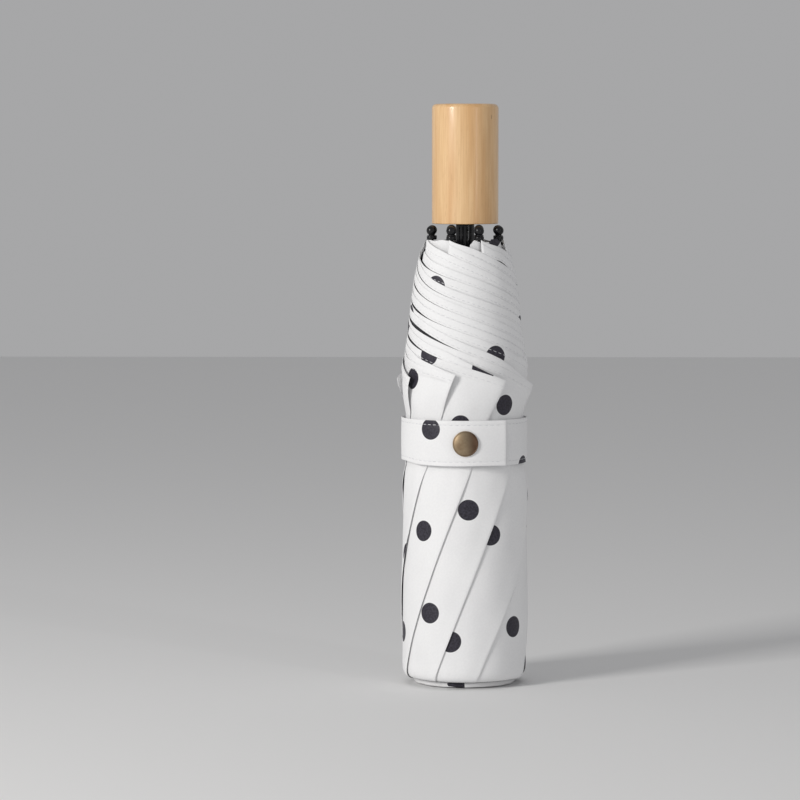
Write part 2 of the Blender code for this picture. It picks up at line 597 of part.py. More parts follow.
def build_snap():
    band_face = strap_radius(SNAP_AZIMUTH) + STRAP_THICKNESS + GAP
    flange = band_face + STUD_FLANGE_THICKNESS
    post = tail_radius(SNAP_AZIMUTH) + STUD_REACH
    rivet = strap_radius(SNAP_AZIMUTH)
    stud = turned("snap_stud", [(0.0, post - band_face), (STUD_POST_RADIUS, post - band_face),
                                (STUD_POST_RADIUS, flange - band_face),
                                (STUD_FLANGE_RADIUS, flange - band_face),
                                (STUD_FLANGE_RADIUS, 0.0), (STUD_RIVET_RADIUS, 0.0),
                                (STUD_RIVET_RADIUS, rivet - band_face),
                                (0.0, rivet - band_face)], PARTS, steps=16)
    stud.data.transform(snap_place(band_face))
    finish(stud, BRASS)

    socket_foot = max(tail_radius(SNAP_AZIMUTH), flange + GAP)
    socket_top = tail_radius(SNAP_AZIMUTH) + STRAP_THICKNESS
    height = socket_top - socket_foot
    socket = turned("snap_socket", [(SNAP_BORE_RADIUS, height), (SNAP_SOCKET_RADIUS, height),
                                    (SNAP_SOCKET_RADIUS, 0.0), (SNAP_BORE_RADIUS, 0.0)],
                    PARTS, steps=16, closed=True)
    socket.data.transform(snap_place(socket_foot))
    finish(socket, BRASS)

    dome_rise = SNAP_CAP_HEIGHT - SNAP_RIM_HEIGHT
    dome = []
    for step in range(6):
        share = step / 6
        dome.append((SNAP_CAP_RADIUS * share, SNAP_RIM_HEIGHT + dome_rise * (1.0 - share ** 2)))
    cap = turned("snap_cap", [*dome, (SNAP_CAP_RADIUS, SNAP_RIM_HEIGHT), (SNAP_CAP_RADIUS, 0.0),
                              (0.0, 0.0)], PARTS, steps=24)
    cap.data.transform(snap_place(socket_top + GAP))
    finish(cap, BRASS)
    return socket, cap


def hang_on_hinge(pieces):
    """Puts the tail and the snap's loose half on an empty that stands on the tail's hinge line."""
    radius = tail_radius(STRAP_HINGE_AZIMUTH) + STRAP_THICKNESS
    spot = azimuth_point(radius, STRAP_HINGE_AZIMUTH, STRAP_MIDDLE_Z)
    hinge = bpy.data.objects.new("strap_tail_hinge", None)
    hinge.location = spot
    PARTS.objects.link(hinge)
    for piece in pieces:
        piece.data.transform(Matrix.Translation(-spot))
        piece.parent = hinge


# ---------------------------------------------------------------- build
clear_scene()
PARTS = new_collection("folding_umbrella")
CUTTERS = new_collection("cutters")
WOOD = make_material("maple", (0.72, 0.49, 0.25), 0.35)
CLOTH = make_material("canopy_cloth", (0.86, 0.86, 0.87), 0.75)
BLACK_PLASTIC = make_material("black_plastic", (0.02, 0.02, 0.022), 0.4)
BLACK_STEEL = make_material("black_steel", (0.03, 0.03, 0.033), 0.3, 0.6)
PAINTED_STEEL = make_material("rib_steel", (0.05, 0.05, 0.055), 0.4, 0.8)
BRIGHT_STEEL = make_material("bright_steel", (0.6, 0.6, 0.6), 0.3, 1.0)
BRASS = make_material("antique_brass", (0.38, 0.30, 0.19), 0.4, 1.0)

build_shaft()
build_top_catch()
build_crown_cap()
build_hubs()
build_ribs()
build_rib_tips()
build_handle()
build_canopy()
strap_tail = build_strap()
snap_socket, snap_cap = build_snap()
hang_on_hinge((strap_tail, snap_socket, snap_cap))
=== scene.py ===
# %% [markdown]
# # A furled folding umbrella in spotted cloth
# The imported model gives the frame: where the shaft, the ribs, the strap and the handle are.
# This script adds the wound cloth, the hems and their stitches, the lacquer on the handle, and
# the tarnish and a painted shade on the snap. Sizes are in metres, +Z is up, and the umbrella
# stands on its crown.

import math

import bmesh
import bpy
from mathutils import Matrix, Vector, noise


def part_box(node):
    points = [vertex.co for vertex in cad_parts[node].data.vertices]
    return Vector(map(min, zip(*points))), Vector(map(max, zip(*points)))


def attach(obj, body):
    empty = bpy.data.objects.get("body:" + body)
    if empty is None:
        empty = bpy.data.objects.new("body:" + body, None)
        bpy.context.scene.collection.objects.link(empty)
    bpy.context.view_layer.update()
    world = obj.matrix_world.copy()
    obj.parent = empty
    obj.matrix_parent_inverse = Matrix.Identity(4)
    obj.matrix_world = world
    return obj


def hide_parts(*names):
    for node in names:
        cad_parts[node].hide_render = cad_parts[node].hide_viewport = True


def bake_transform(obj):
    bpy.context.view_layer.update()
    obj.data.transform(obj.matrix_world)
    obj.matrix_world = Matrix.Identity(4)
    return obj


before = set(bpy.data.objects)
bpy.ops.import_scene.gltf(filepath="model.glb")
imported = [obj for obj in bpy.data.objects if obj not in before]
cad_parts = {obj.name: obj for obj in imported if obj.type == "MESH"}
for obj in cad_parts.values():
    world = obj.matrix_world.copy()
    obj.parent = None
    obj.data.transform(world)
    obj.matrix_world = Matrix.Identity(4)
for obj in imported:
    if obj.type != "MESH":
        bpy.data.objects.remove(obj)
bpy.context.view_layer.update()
MM = 0.001

# %% [markdown]
# The camera stands nearly two metres away with a long lens, so the umbrella's sides stay
# almost parallel. It aims left of the shaft, which puts the umbrella right of the middle.

# %% Camera
HANDLE_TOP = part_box("handle")[1].z
CAMERA_PLACE = (0.0, -1.910, HANDLE_TOP - 0.0227)
CAMERA_TARGET = (-0.0333, 0.0, HANDLE_TOP - 0.1515)


def look_at(place, target):
    """A matrix that stands at place and looks at target, as a camera or a lamp does."""
    turn = (Vector(target) - Vector(place)).to_track_quat("-Z", "Y")
    return Matrix.Translation(place) @ turn.to_matrix().to_4x4()


def add_object(name, data):
    obj = bpy.data.objects.new(name, data)
    bpy.context.scene.collection.objects.link(obj)
    return obj


lens = bpy.data.cameras.new("camera")
lens.lens = 167.9
lens.sensor_width = 36.0
camera = add_object("camera", lens)
camera.matrix_world = look_at(CAMERA_PLACE, CAMERA_TARGET)
bpy.context.scene.camera = camera
print("camera stands", round(camera.matrix_world.translation.length, 2), "m away")

# %% [markdown]
# A studio look needs a pale floor, an even grey surround that fills the shadows, and one big
# soft lamp. The lamp stands front left, so the cloth is bright there and falls to grey on the
# right. A second weak lamp draws the long highlight on the handle.

# %% Floor, surround and lamps
FLOOR_GREY = (0.82, 0.82, 0.82, 1.0)
FLOOR_REACH = 3.0
SURROUND_GREY = (0.385, 0.385, 0.39, 1.0)
WARM_WHITE = (1.0, 0.985, 0.96)


def lay_floor():
    mesh = bpy.data.meshes.new("floor")
    shape = bmesh.new()
    bmesh.ops.create_grid(shape, x_segments=1, y_segments=1, size=FLOOR_REACH)
    shape.to_mesh(mesh)
    shape.free()
    floor = add_object("floor", mesh)
    paint = bpy.data.materials.new("floor_paint")
    paint.use_nodes = True
    shader = paint.node_tree.nodes["Principled BSDF"]
    shader.inputs["Base Color"].default_value = FLOOR_GREY
    shader.inputs["Roughness"].default_value = 0.9
    mesh.materials.append(paint)


def hang_lamp(name, place, target, size, power, colour=(1.0, 1.0, 1.0)):
    lamp = bpy.data.lights.new(name, "AREA")
    lamp.shape = "RECTANGLE"
    lamp.size, lamp.size_y = size
    lamp.energy = power
    lamp.color = colour
    add_object(name, lamp).matrix_world = look_at(place, target)


lay_floor()
surround = bpy.data.worlds.new("surround")
surround.use_nodes = True
surround.node_tree.nodes["Background"].inputs["Color"].default_value = SURROUND_GREY
bpy.context.scene.world = surround
bpy.context.scene.view_settings.view_transform = "Standard"
hang_lamp("key", (-1.22, -1.14, 0.75), (0.0, 0.0, 0.13), (0.45, 0.7), 18.4, WARM_WHITE)
hang_lamp("side_strip", (0.77, -0.95, 0.40), (0.0, 0.0, 0.25), (0.035, 0.9), 1.1)
print("floor, surround and two lamps are in place")

# %% [markdown]
# ## Material helpers
# A material here is a small tree of nodes. Short helpers keep the trees readable: they add a
# node, do arithmetic, ease a value between two limits, and mix two colours by a mask.

# %% Node helpers


def add_node(tree, kind, settings=(), inputs=()):
    """A new node. Each input is either linked to a socket or set to a value."""
    node = tree.nodes.new(kind)
    for name, value in dict(settings).items():
        setattr(node, name, value)
    for name, value in dict(inputs).items():
        if isinstance(value, bpy.types.NodeSocket):
            tree.links.new(value, node.inputs[name])
        else:
            node.inputs[name].default_value = value
    return node


def maths(tree, operation, first, second=0.0, third=0.0):
    node = add_node(tree, "ShaderNodeMath", {"operation": operation},
                    {0: first, 1: second, 2: third})
    return node.outputs[0]


def fade(tree, value, start, end, low=0.0, high=1.0):
    """A smooth step of value from start to end."""
    node = add_node(tree, "ShaderNodeMapRange", {"interpolation_type": "SMOOTHSTEP"},
                    {"Value": value, "From Min": start, "From Max": end, "To Min": low,
                     "To Max": high})
    return node.outputs["Result"]


def mix_colour(tree, mask, first, second):
    node = add_node(tree, "ShaderNodeMix", {"data_type": "RGBA"}, {0: mask, 6: first, 7: second})
    return node.outputs[2]


def noise_at(tree, point, scale, detail, roughness=0.5):
    node = add_node(tree, "ShaderNodeTexNoise", (), {"Vector": point, "Scale": scale,
                                                     "Detail": detail, "Roughness": roughness})
    return node.outputs["Fac"]


def new_material(name, roughness, metallic=0.0, **sockets):
    """A material with one Principled shader, whose even values are set on its sockets."""
    material = bpy.data.materials.new(name)
    material.use_nodes = True
    shader = material.node_tree.nodes["Principled BSDF"]
    shader.inputs["Roughness"].default_value = roughness
    shader.inputs["Metallic"].default_value = metallic
    for socket, value in sockets.items():
        shader.inputs[socket.replace("_", " ")].default_value = value
    return material, material.node_tree, shader


def new_group(name, inputs, outputs):
    """An effect that several materials share. It gives masks or heights, no shaders."""
    group = bpy.data.node_groups.new(name, "ShaderNodeTree")
    for way, sockets in (("INPUT", inputs), ("OUTPUT", outputs)):
        for socket, kind in sockets:
            group.interface.new_socket(socket, in_out=way, socket_type=kind)
    return group, group.nodes.new("NodeGroupInput"), group.nodes.new("NodeGroupOutput")


def use_group(tree, group, inputs):
    return add_node(tree, "ShaderNodeGroup", {"node_tree": group}, inputs)


print("node helpers ready")

# %% [markdown]
# ### Weave
# Umbrella cloth is a very fine plain weave. Two crossed waves give the over-and-under, and a
# noise makes some threads slacker. The group gives a height for the Bump node and a faint
# shade for the colour.

# %% Weave group
FLOAT, VECTOR = "NodeSocketFloat", "NodeSocketVector"


def make_weave_group():
    group, start, end = new_group("weave", [("Vector", VECTOR), ("Threads", FLOAT)],
                                  [("Height", FLOAT), ("Shade", FLOAT)])
    scaled = add_node(group, "ShaderNodeVectorMath", {"operation": "SCALE"},
                      {0: start.outputs["Vector"], "Scale": start.outputs["Threads"]})
    parts = add_node(group, "ShaderNodeSeparateXYZ", (), {0: scaled.outputs[0]})
    warp = maths(group, "SINE", parts.outputs["X"])
    weft = maths(group, "SINE", parts.outputs["Y"])
    crossed = maths(group, "MULTIPLY", warp, weft)
    slack = noise_at(group, start.outputs["Vector"], 900.0, 2.0)
    uneven = maths(group, "MULTIPLY_ADD", slack, 0.8, crossed)
    group.links.new(uneven, end.inputs["Height"])
    group.links.new(fade(group, slack, 0.3, 0.7), end.inputs["Shade"])
    return group


WEAVE = make_weave_group()
print("weave group:", len(WEAVE.nodes), "nodes")

# %% [markdown]
# ### Spots
# The print is rows of spots, and every other row slips by half a step. Two square lattices,
# one shifted by half a cell each way, make this pattern. Wrapping a coordinate into one cell
# turns a lattice into a single spot.

# %% Spots group
SPOT_STEP = 57.4 * MM
SPOT_RADIUS = 5.35 * MM
SPOT_BLEED = 0.08 * MM          # half the width of a spot's soft edge


def make_spots_group():
    group, start, end = new_group("spots", [("Vector", VECTOR)], [("Mask", FLOAT)])
    nearest = []
    for shift in (0.0, 0.5):
        moved = add_node(group, "ShaderNodeVectorMath", {"operation": "SUBTRACT"},
                         {0: start.outputs["Vector"],
                          1: (SPOT_STEP * shift, SPOT_STEP * shift, 0.0)})
        cell = add_node(group, "ShaderNodeVectorMath", {"operation": "WRAP"},
                        {0: moved.outputs[0], 1: (SPOT_STEP / 2, SPOT_STEP / 2, 1.0),
                         2: (-SPOT_STEP / 2, -SPOT_STEP / 2, -1.0)})
        reach = add_node(group, "ShaderNodeVectorMath", {"operation": "LENGTH"},
                         {0: cell.outputs[0]})
        nearest.append(reach.outputs["Value"])
    closest = maths(group, "MINIMUM", nearest[0], nearest[1])
    mask = fade(group, closest, SPOT_RADIUS - SPOT_BLEED, SPOT_RADIUS + SPOT_BLEED, 1.0, 0.0)
    group.links.new(mask, end.inputs["Mask"])
    return group


SPOTS = make_spots_group()
print("spots:", round(SPOT_STEP / MM, 1), "mm apart along the grain")

# %% [markdown]
# ### Handling marks
# Nothing that is carried every day is evenly clean. One group gives soft blotches and fine
# specks, and each material chooses how much it takes of them.

# %% Handling group


def make_handling_group():
    group, start, end = new_group("handling", [("Vector", VECTOR), ("Scale", FLOAT)],
                                  [("Blotch", FLOAT), ("Specks", FLOAT)])
    point, scale = start.outputs["Vector"], start.outputs["Scale"]
    soft = noise_at(group, point, scale, 3.0, 0.6)
    group.links.new(fade(group, soft, 0.35, 0.7), end.inputs["Blotch"])
    grit = noise_at(group, point, maths(group, "MULTIPLY", scale, 14.0), 1.0)
    group.links.new(fade(group, grit, 0.62, 0.75), end.inputs["Specks"])
    return group


HANDLING = make_handling_group()


def object_point(tree):
    return add_node(tree, "ShaderNodeTexCoord").outputs["Object"]


def uv_point(tree, name):
    return add_node(tree, "ShaderNodeUVMap", {"uv_map": name}).outputs["UV"]


def handling_marks(tree, scale):
    return use_group(tree, HANDLING, {"Vector": object_point(tree), "Scale": scale}).outputs


def bump(tree, shader, height, strength, distance):
    node = add_node(tree, "ShaderNodeBump", (),
                    {"Height": height, "Strength": strength, "Distance": distance})
    tree.links.new(node.outputs["Normal"], shader.inputs["Normal"])


print("handling group ready")

# %% [markdown]
# ### Canopy cloth
# The face is white with near-black spots, and the back has a black sun-proof coating. A
# Solidify modifier gives each sheet its thickness and its back the second material. The hem is
# turned over to the back, so a strip along it is white there too. Each sheet carries two maps:
# "print" lies along the grain, and "hem" gives the distance along the hem and down from it.

# %% Cloth materials
HEM_WIDTH = 4.6 * MM
WHITE_CLOTH = (0.86, 0.86, 0.865, 1.0)
SHADED_CLOTH = (0.79, 0.79, 0.80, 1.0)
SPOT_INK = (0.017, 0.015, 0.022, 1.0)
WORN_INK = (0.040, 0.036, 0.052, 1.0)
COATING = (0.010, 0.010, 0.012, 1.0)
WORN_COATING = (0.022, 0.022, 0.026, 1.0)
THREADS = 2 * math.pi * 1800.0  # each wave holds two threads, so 36 threads to the centimetre


def make_cloth(name, is_back):
    material, tree, shader = new_material(name, 0.72, Sheen_Weight=0.05, Sheen_Roughness=0.4,
                                          Specular_IOR_Level=0.35)
    grain = uv_point(tree, "print")
    hem = add_node(tree, "ShaderNodeSeparateXYZ", (), {0: uv_point(tree, "hem")})
    weave = use_group(tree, WEAVE, {"Vector": grain, "Threads": THREADS}).outputs
    marks = handling_marks(tree, 45.0)
    mask = use_group(tree, SPOTS, {"Vector": grain}).outputs["Mask"]
    dull = maths(tree, "MULTIPLY", marks["Blotch"], 0.35)
    dull = maths(tree, "MULTIPLY_ADD", weave["Shade"], 0.35, dull)
    white = mix_colour(tree, dull, WHITE_CLOTH, SHADED_CLOTH)
    face = mix_colour(tree, mask, white, mix_colour(tree, weave["Shade"], SPOT_INK, WORN_INK))
    rough = fade(tree, mask, 0.0, 1.0, 0.74, 0.48)
    if is_back:
        below_hem = fade(tree, hem.outputs["Y"], HEM_WIDTH, HEM_WIDTH + 0.1 * MM)
        coat = mix_colour(tree, marks["Blotch"], COATING, WORN_COATING)
        face = mix_colour(tree, below_hem, face, coat)
        rough = fade(tree, below_hem, 0.0, 1.0, 0.74, 0.45)
    tree.links.new(face, shader.inputs["Base Color"])
    tree.links.new(rough, shader.inputs["Roughness"])
    bump(tree, shader, weave["Height"], 0.35, 0.02 * MM)
    return material


CLOTH = make_cloth("printed_cloth", False)
LINING = make_cloth("coated_back", True)


def make_thread():
    material, tree, shader = new_material("white_thread", 0.6, Sheen_Weight=0.3)
    marks = handling_marks(tree, 400.0)
    shade = mix_colour(tree, marks["Blotch"], (0.74, 0.74, 0.76, 1.0), (0.56, 0.56, 0.59, 1.0))
    tree.links.new(shade, shader.inputs["Base Color"])
    bump(tree, shader, marks["Specks"], 0.3, 0.02 * MM)
    return material


THREAD = make_thread()
print("cloth, its back and its thread are mixed")

# %% [markdown]
# ### Wood
# Maple shows a fine upright figure, slow changes from cream to honey, and a few short dark
# flecks. Noise squeezed across the grain and stretched along it gives all three. A clear coat
# with its own gloss makes the lacquer.

# %% Wood material


def stretched_noise(tree, along, across, detail):
    """Noise in long upright streaks: a high scale across the grain and a low one along it."""
    squeezed = add_node(tree, "ShaderNodeMapping", (),
                        {"Vector": object_point(tree), "Scale": (across, across, along)})
    return noise_at(tree, squeezed.outputs[0], 1.0, detail, 0.6)


def make_wood():
    material, tree, shader = new_material("lacquered_maple", 0.42, Coat_Weight=0.55,
                                          Coat_Roughness=0.16, Coat_IOR=1.5)
    broad = fade(tree, stretched_noise(tree, 9.0, 160.0, 3.0), 0.32, 0.68)
    fine = fade(tree, stretched_noise(tree, 45.0, 1500.0, 4.0), 0.35, 0.7)
    pores = fade(tree, stretched_noise(tree, 160.0, 2600.0, 1.0), 0.66, 0.74)
    fleck = fade(tree, stretched_noise(tree, 150.0, 900.0, 0.0), 0.845, 0.86)
    colour = mix_colour(tree, broad, (0.82, 0.55, 0.29, 1.0), (0.70, 0.41, 0.18, 1.0))
    for mask, share, darker in ((fine, 0.45, (0.60, 0.34, 0.15, 1.0)),
                                (pores, 0.35, (0.42, 0.23, 0.09, 1.0)),
                                (fleck, 0.8, (0.16, 0.08, 0.03, 1.0))):
        colour = mix_colour(tree, maths(tree, "MULTIPLY", mask, share), colour, darker)
    tree.links.new(colour, shader.inputs["Base Color"])
    tree.links.new(fade(tree, fine, 0.0, 1.0, 0.38, 0.5), shader.inputs["Roughness"])
    bump(tree, shader, maths(tree, "SUBTRACT", 1.0, pores), 0.12, 0.03 * MM)
    return material


WOOD = make_wood()
print("wood:", len(WOOD.node_tree.nodes), "nodes")

# %% [markdown]
# ### Plastic, steel and brass
# The small parts share one recipe with different values: a ground colour, a second colour in
# soft blotches, and specks that break the gloss. The brass also has a painted shade that darkens
# its right side.

# %% Small-part materials


def make_hard(name, ground, second, amount, roughness, metallic, scale, **sockets):
    material, tree, shader = new_material(name, roughness, metallic, **sockets)
    marks = handling_marks(tree, scale)
    mask = maths(tree, "MULTIPLY", marks["Blotch"], amount)
    tree.links.new(mix_colour(tree, mask, (*ground, 1.0), (*second, 1.0)),
                   shader.inputs["Base Color"])
    worn = maths(tree, "MULTIPLY_ADD", marks["Blotch"], 0.14, roughness)
    worn = maths(tree, "MULTIPLY_ADD", marks["Specks"], 0.10, worn)
    tree.links.new(worn, shader.inputs["Roughness"])
    bump(tree, shader, marks["Specks"], 0.15, 0.02 * MM)
    return material


BLACK_PLASTIC = make_hard("black_plastic", (0.004, 0.004, 0.005), (0.010, 0.010, 0.012), 0.8,
                          0.20, 0.0, 260.0, Specular_IOR_Level=0.35)
BLACK_STEEL = make_hard("black_enamel", (0.004, 0.004, 0.005), (0.010, 0.010, 0.012), 0.7,
                        0.09, 0.0, 120.0, Specular_IOR_Level=0.5)
RIB_STEEL = make_hard("rib_steel", (0.020, 0.020, 0.022), (0.06, 0.06, 0.065), 0.8, 0.34, 0.7,
                      220.0)
BRIGHT_STEEL = make_hard("bright_steel", (0.62, 0.62, 0.63), (0.42, 0.42, 0.44), 0.6, 0.24,
                         1.0, 300.0)
BRASS = make_hard("antique_brass", (0.46, 0.36, 0.24), (0.25, 0.17, 0.10), 0.75, 0.32, 1.0,
                  150.0)


def paint_shade_on_one_side(material, colour):
    """Paints shade on one side: the colour darkens towards +X, the right side, away from the key
    lamp.
    """
    tree = material.node_tree
    base = tree.nodes["Principled BSDF"].inputs["Base Color"]
    side = add_node(tree, "ShaderNodeSeparateXYZ", (), {0: object_point(tree)}).outputs["X"]
    painted_shade = fade(tree, side, -1.5 * MM, 5.5 * MM, 0.0, 0.85)
    tree.links.new(mix_colour(tree, painted_shade, base.links[0].from_socket, colour), base)


# painted shade: the brass goes dark brown on its right side, where the key lamp's light falls
# off
paint_shade_on_one_side(BRASS, (0.085, 0.040, 0.026, 1.0))
print("plastic, steel and brass are mixed")

# %% [markdown]
# ## Shape helpers
# Turned parts are a line of (radius, height) points spun once round the shaft. The helper spins
# them, closes the poles and turns the faces outwards.

# %% Turning and finishing
MERGE_REACH = 0.002 * MM        # points nearer than this become one


def put_in_scene(name, shape, material, smooth=40.0):
    mesh = bpy.data.meshes.new(name)
    shape.to_mesh(mesh)
    shape.free()
    mesh.materials.append(material)
    mesh.shade_smooth()
    mesh.set_sharp_from_angle(angle=math.radians(smooth))
    return add_object(name, mesh)


def spin_profile(shape, profile, steps):
    """Spins a line of (radius, height) points once round the Z axis."""
    verts = [shape.verts.new((radius, 0.0, height)) for radius, height in profile]
    edges = [shape.edges.new(pair) for pair in zip(verts, verts[1:])]
    bmesh.ops.spin(shape, geom=verts + edges, cent=(0.0, 0.0, 0.0), axis=(0.0, 0.0, 1.0),
                   angle=2 * math.pi, steps=steps, use_merge=True)
    bmesh.ops.remove_doubles(shape, verts=shape.verts, dist=MERGE_REACH)
    bmesh.ops.recalc_face_normals(shape, faces=shape.faces)


def arc_points(centre, radius, start, end, steps):
    points = []
    for step in range(steps + 1):
        angle = math.radians(start + (end - start) * step / steps)
        points.append((centre[0] + radius * math.cos(angle),
                       centre[1] + radius * math.sin(angle)))
    return points


def turned_piece(name, profile, material, body, node, steps):
    """A turned piece that rides on a body and stands for a node of the frame."""
    shape = bmesh.new()
    spin_profile(shape, profile, steps)
    piece = put_in_scene(name, shape, material)
    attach(piece, body)
    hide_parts(node)


def radius_of(node):
    low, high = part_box(node)
    return (high.x - low.x) / 2


print("turning helper ready")

# %% [markdown]
# ### Handle
# A plain cylinder of maple with a small round at the top, a crisp edge below and a bore for
# the shaft. Its profile runs from the middle of the top to the bore's ceiling.

# %% Handle
handle_low, handle_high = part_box("handle")
HANDLE_RADIUS = radius_of("handle")
BORE_RADIUS = 7.0 * MM
BORE_DEPTH = 26.0 * MM
TOP_ROUND = 2.4 * MM
FOOT_ROUND = 0.5 * MM
BORE_EDGE = 0.3 * MM


def build_handle():
    top, foot = handle_high.z, handle_low.z
    profile = [(0.0, top), (HANDLE_RADIUS * 0.5, top)]
    profile += arc_points((HANDLE_RADIUS - TOP_ROUND, top - TOP_ROUND), TOP_ROUND, 90, 0, 10)
    profile += arc_points((HANDLE_RADIUS - FOOT_ROUND, foot + FOOT_ROUND), FOOT_ROUND, 0, -90, 4)
    profile += [(BORE_RADIUS + BORE_EDGE, foot), (BORE_RADIUS, foot + BORE_EDGE),
                (BORE_RADIUS, foot + BORE_DEPTH), (0.0, foot + BORE_DEPTH)]
    turned_piece("handle_grip", profile, WOOD, "handle", "handle", 128)


build_handle()
print("handle:", round(2 * HANDLE_RADIUS / MM, 1), "mm across,",
      round((handle_high.z - handle_low.z) / MM, 1), "mm long")

# %% [markdown]
# ### Shaft
# The telescopic tubes are thin, with a rounded lip at the top. They are spun again here with
# many more steps than the frame has, because they shine.

# %% Tubes
TUBE_WALL = 0.4 * MM
TUBE_LIP = 0.8 * MM


def build_tube(name, node, body):
    low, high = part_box(node)
    radius, half = radius_of(node), TUBE_WALL / 2
    profile = [(radius - TUBE_WALL, low.z), (radius, low.z), (radius, high.z - TUBE_LIP)]
    profile += arc_points((radius - half, high.z - half), half, 0, 180, 6)
    profile += [(radius - TUBE_WALL, low.z)]
    turned_piece(name, profile, BLACK_STEEL, body, node, 64)


build_tube("shaft_tube", "outer_tube", "frame")
build_tube("middle_tube", "mid_tube", "mid_tube")
build_tube("grip_tube", "inner_tube", "handle")
print("shaft tube:", round(2 * radius_of("outer_tube") / MM, 1), "mm across")

# %% [markdown]
# ### Rib tips
# Each tip is a moulded ball on a waisted neck and a flared foot. None is pushed on to its rib
# quite straight, so each leans a little.

# %% Rib tips
TIP_COUNT = 8
TIP_STEP = 360.0 / TIP_COUNT
TIP_AZIMUTH = 22.5
tip_low, tip_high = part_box("rib_tip_1")
tip_middle = (tip_low + tip_high) / 2
TIP_CIRCLE = math.hypot(tip_middle.x, tip_middle.y)
BALL_RADIUS = 2.55 * MM
TIP_BORE_RADIUS = 1.1 * MM
TIP_BORE_DEPTH = 3.4 * MM
TIP_LEAN = 2.0                  # degrees at most


def build_tip(index):
    """One tip, drawn on the axis and moved to its azimuth, which counts from the front (-Y)."""
    foot, top = tip_low.z, tip_high.z
    ball = arc_points((0.0, top - BALL_RADIUS), BALL_RADIUS, 90, -52, 12)
    neck = [(1.46 * MM, foot + 2.45 * MM), (1.5 * MM, foot + 2.2 * MM),
            (1.75 * MM, foot + 2.0 * MM)]
    skirt = arc_points((1.95 * MM, foot + 1.45 * MM), 0.55 * MM, 75, 0, 5)
    skirt += arc_points((2.2 * MM, foot + 0.3 * MM), 0.3 * MM, 0, -90, 4)
    bore = [(TIP_BORE_RADIUS, foot), (TIP_BORE_RADIUS, foot + TIP_BORE_DEPTH),
            (0.0, foot + TIP_BORE_DEPTH)]
    shape = bmesh.new()
    spin_profile(shape, ball + neck + skirt + bore, 28)
    turn = Matrix.Rotation(math.radians(TIP_AZIMUTH + TIP_STEP * index - 90.0), 4, "Z")
    lean = Matrix.Rotation(math.radians(TIP_LEAN * math.sin(index * 2.4)), 4, "Y")
    pivot = Matrix.Translation((0.0, 0.0, foot))
    shape.transform(turn @ Matrix.Translation((TIP_CIRCLE, 0.0, 0.0))
                    @ pivot @ lean @ pivot.inverted())
    tip = put_in_scene(f"tip_ball_{index + 1}", shape, BLACK_PLASTIC)
    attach(tip, "frame")
    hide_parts(f"rib_tip_{index + 1}")


for tip_index in range(TIP_COUNT):
    build_tip(tip_index)
print("tips on a circle of", round(TIP_CIRCLE / MM, 1), "mm")

# %% [markdown]
# ## The wound cloth
# An open canopy is eight gores. Furled, each gore's slack hangs between two ribs as a double
# flap, and the flaps are smoothed round the bundle one over the other. Each flap starts at its
# rib's tip, goes a little more than once round, and ends in a folded edge.
#
# The hem runs down round the bundle from the tip to the folded corner. From outside we see
# eight hems like the threads of a screw, and below them eight slanting folded edges.

# %% The bundle's outline
MOUTH_Z = tip_low.z - 0.6 * MM
CORNER_Z = MOUTH_Z - 70.5 * MM
CORNER_TURN = 374.5            # degrees of wrap from a rib's tip to its flap's corner
HEM_DROP = (MOUTH_Z - CORNER_Z) / CORNER_TURN
EDGE_SLOPE = 0.695 / MM        # degrees that the folded edge turns for each metre of height
LAYER_STEP = 0.55 * MM         # how much each flap adds to the radius
FLAP_FOOT_Z = 3.2 * MM
WRAP_RADIUS = 32.2 * MM        # the bundle's radius where it is fullest

OUTLINE = [(3.2, 27.6), (3.6, 29.2), (4.1, 30.2), (5.0, 31.1), (6.5, 31.8), (9.0, 32.2),
           (65.0, 32.2), (100.0, 31.8), (109.0, 31.2), (113.0, 30.45), (138.5, 30.45),
           (142.0, 31.0), (147.0, 31.8), (154.0, 32.3), (159.0, 32.1), (172.3, 30.5),
           (183.0, 29.0), (195.0, 27.7), (207.0, 26.0), (215.0, 24.2), (221.0, 22.7),
           (227.3, 21.0), (240.0, 20.4)]


def smooth_step(value, start, end):
    share = min(1.0, max(0.0, (value - start) / (end - start)))
    return share * share * (3 - 2 * share)


def hump(value, start, middle, end):
    """Eases from 0 at start to 1 at middle, and back to 0 at end."""
    return smooth_step(value, start, middle) * (1.0 - smooth_step(value, middle, end))


# the outline's slope at each of its points, which is flat where the outline turns back
rises = [(r1 - r0) / (z1 - z0) for (z0, r0), (z1, r1) in zip(OUTLINE, OUTLINE[1:])]
inner = [2 * a * b / (a + b) if a * b > 0.0 else 0.0 for a, b in zip(rises, rises[1:])]
OUTLINE_SLOPES = [rises[0], *inner, rises[-1]]


def outline_radius(z):
    """The bundle's radius at a height, eased between the outline's points."""
    height = min(max(z / MM, OUTLINE[0][0]), OUTLINE[-1][0])
    index = next(i for i in range(1, len(OUTLINE)) if height <= OUTLINE[i][0]) - 1
    (z0, r0), (z1, r1) = OUTLINE[index], OUTLINE[index + 1]
    step = z1 - z0
    share = (height - z0) / step
    start, end = OUTLINE_SLOPES[index] * step, OUTLINE_SLOPES[index + 1] * step
    square, cube = share ** 2, share ** 3
    eased = (r0 * (2 * cube - 3 * square + 1) + start * (cube - 2 * square + share)
             + r1 * (3 * square - 2 * cube) + end * (cube - square))
    return eased * MM


def last_turn(z):
    """How far round, in degrees from its tip, a flap is on top at a height."""
    hem = (MOUTH_Z - z) / HEM_DROP
    edge = CORNER_TURN - EDGE_SLOPE * (CORNER_Z - z)
    return max(0.0, min(hem, edge) if z < CORNER_Z else hem)


# how far a flap's corner stands above the even line, in mm
CORNER_RISE = {7: 3.8, 0: 0.5, 1: -1.2, 6: 1.5, 3: 1.2, 4: -1.5}
